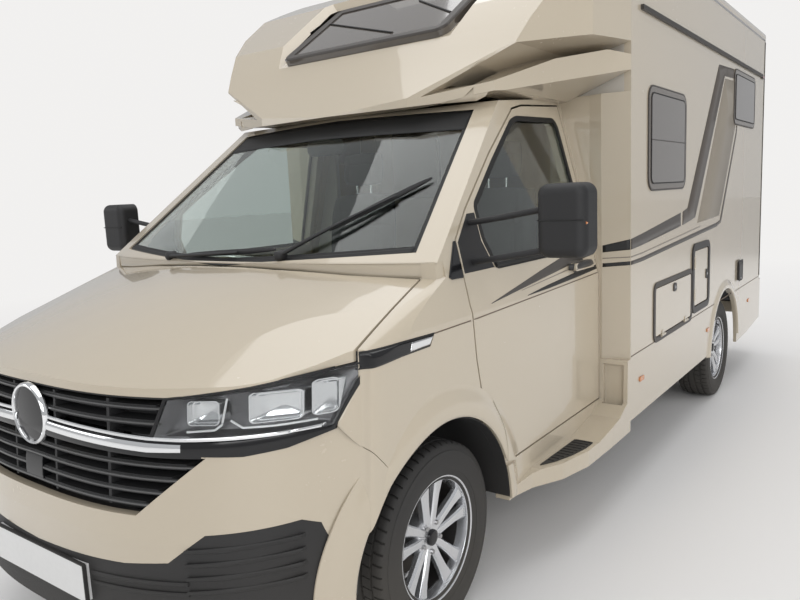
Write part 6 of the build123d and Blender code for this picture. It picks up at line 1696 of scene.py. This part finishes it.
    def roof(self) -> None:
        """Rims round the roof hatches."""
        for number, (behind, length, width) in enumerate(((1750, 520, 720), (2900, 420, 420), (4050, 420, 420))):
            top = 2.850 if number == 0 else 2.830
            line = rounded(width / 1000 + 0.03, length / 1000 + 0.03, 0.05, 8)
            inner = grown(line, -0.05)
            outer3 = np.stack([line[:, 0], at(behind) + line[:, 1], np.full(len(line), top - 0.016)], -1)
            inner3 = np.stack([inner[:, 0], at(behind) + inner[:, 1], np.full(len(inner), top - 0.0006)], -1)
            Mesh.ring(f"hatch_rim_{number}", inner3, outer3, np.array([0, 0, -0.008]), FRAME_DARK, bevel=0.001)

    def steps(self) -> None:
        """Ribbed black pads on the cab's steps."""
        for side, name in ((1, "left"), (-1, "right")):
            outline = np.array([(0.972, 0.628), (1.012, 0.700), (1.044, 0.800), (1.062, 0.900), (1.066, 0.985), (0.978, 0.985)])
            line = softened(outline, 80, 0.012)
            lower = np.stack([line[:, 0], FRONT_AXLE + line[:, 1], np.full(80, 0.4030)], -1)
            upper = lower + [0, 0, 0.0035]
            Mesh.prism(f"step_pad_{name}", upper * [side, 1, 1], lower * [side, 1, 1], BLACK, bevel=0.001)
            ribs = []
            for place in np.arange(0.70, 0.98, 0.03):
                near, far = 0.980, float(np.interp(place, outline[:5, 1], outline[:5, 0])) - 0.008
                t = np.linspace(near, far, 6)
                path = np.stack([side * t, np.full(6, FRONT_AXLE + place), np.full(6, 0.4062)], -1)
                ribs.append(Mesh.tube_data(path, 0.003, 6))
            points, faces = Mesh.joined(ribs)
            Mesh.piece(f"step_ribs_{name}", points, faces, RUBBER)

    def build(self) -> None:
        """Makes the living body's fittings."""
        self.windows()
        self.flaps()
        self.entry()
        self.lamps()
        self.rear()
        self.roof()
        self.steps()


@dataclass
class CabInside:
    """Seats, steering wheel, dashboard parts and what hangs in the windscreen."""

    seat_x: float = 0.430
    seat_half: float = 0.235

    def cushion(self, name: str, middle: Array, size: tuple[float, float, float], tilt: float, crown: float) -> bpy.types.Object:
        """A padded cushion: a rounded pillow whose thickness falls to its edges by a power, with two sewn channels.

        Args:
            name: Name of the piece.
            middle: Centre of the cushion.
            size: Width, length and thickness.
            tilt: Turn about X in degrees.
            crown: Thickness of the pillow's swell as a share of its thickness.

        Returns:
            The cushion.
        """
        wide, long, thick = size
        u, v = np.meshgrid(np.linspace(-1, 1, 49), np.linspace(-1, 1, 49), indexing="ij")
        squash_u = u * np.sqrt(1 - 0.30 * v**2 / 2)
        squash_v = v * np.sqrt(1 - 0.30 * u**2 / 2)
        swell = (1 - np.abs(u) ** 5) ** 0.45 * (1 - np.abs(v) ** 5) ** 0.45
        bolster = 0.22 * np.exp(-(((np.abs(u) - 0.80) / 0.16) ** 2))
        seam = 0.10 * (np.exp(-(((np.abs(u) - 0.58) / 0.030) ** 2)) + np.exp(-((v - 0.25) / 0.025) ** 2))
        top = thick / 2 * swell * (1 + crown * (1 - u**2) * (1 - v**2) * 0.5 + bolster - seam)
        bottom = -thick / 2 * swell * 0.9
        turn = math.radians(tilt)
        sheets = []
        for sheet in (top, bottom):
            x, y, z = squash_u * wide / 2, squash_v * long / 2, sheet
            sheets.append(np.stack([x, y * math.cos(turn) - z * math.sin(turn), y * math.sin(turn) + z * math.cos(turn)], -1) + middle)
        upper = Mesh.grid_faces(49, 49)
        lower = [[2401 + k for k in face[::-1]] for face in Mesh.grid_faces(49, 49)]
        points = np.vstack([sheets[0].reshape(-1, 3), sheets[1].reshape(-1, 3)])
        made = Mesh.piece(name, points, upper + lower, CLOTH, sharp=180, smooth=1)
        return made

    def seats(self) -> None:
        """Two seats: base cushion, backrest and headrest on two posts."""
        for side, name in ((1, "left"), (-1, "right")):
            x = side * self.seat_x
            base = self.cushion(f"seat_base_{name}", np.array([x, at(1085), 1.018]), (0.465, 0.47, 0.135), 4, 0.2)
            self.cushion(f"seat_back_{name}", np.array([x, at(1308), 1.285]), (0.455, 0.50, 0.115), 83, 0.2)
            self.cushion(f"seat_head_{name}", np.array([x, at(1344), 1.665]), (0.27, 0.185, 0.085), 84, 0.2)
            for hand in (-0.05, 0.05):
                path = np.array([[x + hand, at(1335), 1.50], [x + hand, at(1338), 1.56], [x + hand, at(1342), 1.62]])
                Mesh.tube(f"head_post_{name}_{'in' if hand < 0 else 'out'}", path, 0.006, SATIN, around=10)
            foot = rounded(0.44, 0.40, 0.03)
            low = np.stack([x + foot[:, 0], at(1110) + foot[:, 1], np.full(len(foot), 0.9485)], -1)
            Mesh.prism(f"seat_plinth_{name}", low + [0, 0, 0.022], low, DASH, bevel=0.003)
            if side > 0:
                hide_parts("cab_seats")

    def wheel(self) -> None:
        """Steering wheel: a ring, three spokes and a plain boss, tilted as the CAD one is."""
        middle = np.array([self.seat_x, at(640), 1.165])
        normal = np.array([0, 0.62, 0.78])
        normal /= np.linalg.norm(normal)
        across = np.array([1.0, 0, 0])
        rise = np.cross(normal, across)
        turn = np.linspace(0, 2 * np.pi, 72, endpoint=False)
        small = np.linspace(0, 2 * np.pi, 14, endpoint=False)
        out = np.cos(turn)[:, None] * across + np.sin(turn)[:, None] * rise
        grid = middle + out[:, None] * (0.184 + 0.0145 * np.cos(small))[None, :, None] + normal * (0.0145 * np.sin(small))[None, :, None]
        shapes = [(grid.reshape(-1, 3), Mesh.grid_faces(72, 14, True, True))]
        for angle in (0, 180, 270):
            ray = math.cos(math.radians(angle)) * across + math.sin(math.radians(angle)) * rise
            path = middle + np.linspace(0.04, 0.178, 10)[:, None] * ray - normal * 0.004
            shapes.append(Mesh.tube_data(path, np.linspace(0.020, 0.013, 10), 12, 0.55))
        boss = middle + normal * np.array([-0.05, -0.03, 0.0, 0.014, 0.018])[:, None]
        shapes.append(Mesh.tube_data(boss, np.array([0.045, 0.058, 0.064, 0.058, 0.035]), 28))
        points, faces = Mesh.joined(shapes)
        made = Mesh.piece("steering_ring", points, faces, DASH, sharp=40)
        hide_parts("steering_wheel")
        column = np.linspace(0, 1, 8)[:, None] * np.array([0, -0.22, -0.277]) + middle - normal * 0.04
        Mesh.tube("steering_column", column, 0.034, DASH, around=20)

    def dash(self) -> None:
        """Instrument hood with its glass, centre screen and air vents on the dashboard, and the inside mirror."""
        t = np.linspace(0, np.pi, 30)
        arch = np.stack([self.seat_x + 0.18 * np.cos(t), np.full(30, at(470)), 1.200 + 0.085 * np.sin(t) ** 0.7], -1)
        Mesh.prism("instrument_hood", arch, arch + [0, -0.17, -0.004], DASH, bevel=0.004)
        glass = arch * [1, 1, 1]
        centre = glass.mean(axis=0)
        face = centre + (glass - centre) * 0.86 + [0, 0.0015, 0]
        Mesh.prism("instrument_glass", face, face - [0, 0.003, 0], GLOSS_BLACK)
        panel = rounded(0.24, 0.14, 0.012)
        front = np.stack([panel[:, 0], at(596) + 0.0 * panel[:, 1], 1.05 + panel[:, 1]], -1)
        Mesh.prism("centre_screen", front, front - [0, 0.03, 0], GLOSS_BLACK, bevel=0.001)
        for number, x in enumerate((-0.72, -0.20, 0.20, 0.74)):
            vent = rounded(0.12, 0.06, 0.012)
            inner = vent * 0.84
            place = np.array([x, at(575), 1.135])
            lines = [np.stack([edge[:, 0], np.zeros(len(edge)), edge[:, 1]], -1) + place for edge in (inner, vent)]
            Mesh.ring(f"vent_{number}", lines[0], lines[1], np.array([0, -0.03, 0]), SATIN, bevel=0.001)
        mirror = rounded(0.22, 0.07, 0.03)
        face = np.stack([mirror[:, 0], np.full(len(mirror), at(560)), 1.735 + mirror[:, 1]], -1)
        Mesh.prism("inside_mirror", face, face - [0, 0.022, 0], BLACK, bevel=0.004)

    def build(self) -> None:
        """Makes the inside of the cab."""
        self.seats()
        self.wheel()
        self.dash()


@dataclass
class Underside:
    """Springs and bolts under the van."""

    def springs(self) -> None:
        """Front coil springs round the struts: a helix of seven turns."""
        t = np.linspace(0, 1, 200)
        for side, name in ((1, "left"), (-1, "right")):
            turn = 2 * np.pi * 6.0 * t
            path = np.stack([side * 0.650 + 0.058 * np.cos(turn), at(0) + 0.058 * np.sin(turn), 0.70 + 0.16 * t], -1)
            Mesh.tube(f"coil_spring_{name}", path, 0.0065, FRAME_STEEL, around=8)

    def bolts(self) -> None:
        """Rows of hexagon bolt heads along the frame rails."""
        turn = np.linspace(0, 2 * np.pi, 6, endpoint=False)
        shapes = []
        for side in (-1, 1):
            for behind in range(200, 4600, 400):
                middle = np.array([side * 0.4502, at(behind), 0.57])
                ring = np.stack([np.zeros(6), 0.011 * np.cos(turn), 0.011 * np.sin(turn)], -1)
                shapes.append(Mesh.prism_data(middle + ring, middle + ring + [side * 0.008, 0, 0]))
        points, faces = Mesh.joined(shapes)
        Mesh.piece("rail_bolts", points, faces, STEEL, bevel=0.001)

    def build(self) -> None:
        """Makes the parts under the van."""
        self.springs()
        self.bolts()


def main() -> None:
    """Builds the studio, the finishes and each sub-assembly in order."""
    logging.basicConfig(level=logging.INFO, format="%(message)s")
    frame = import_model()
    Studio().build()
    PanelFinishes(frame).build()
    for corner, x, behind, side in (
        ("front_left", 0.800, 0, 1),
        ("front_right", 0.800, 0, -1),
        ("rear_left", 0.951, 3400, 1),
        ("rear_right", 0.951, 3400, -1),
    ):
        RoadWheel(corner, x, behind, side).build()
    FrontFace().build()
    CabTrim(frame).build()
    OvercabHood(frame).build()
    Stripes(frame).build()
    LivingBody().build()
    CabInside().build()
    Underside().build()


if __name__ == "__main__":
    main()
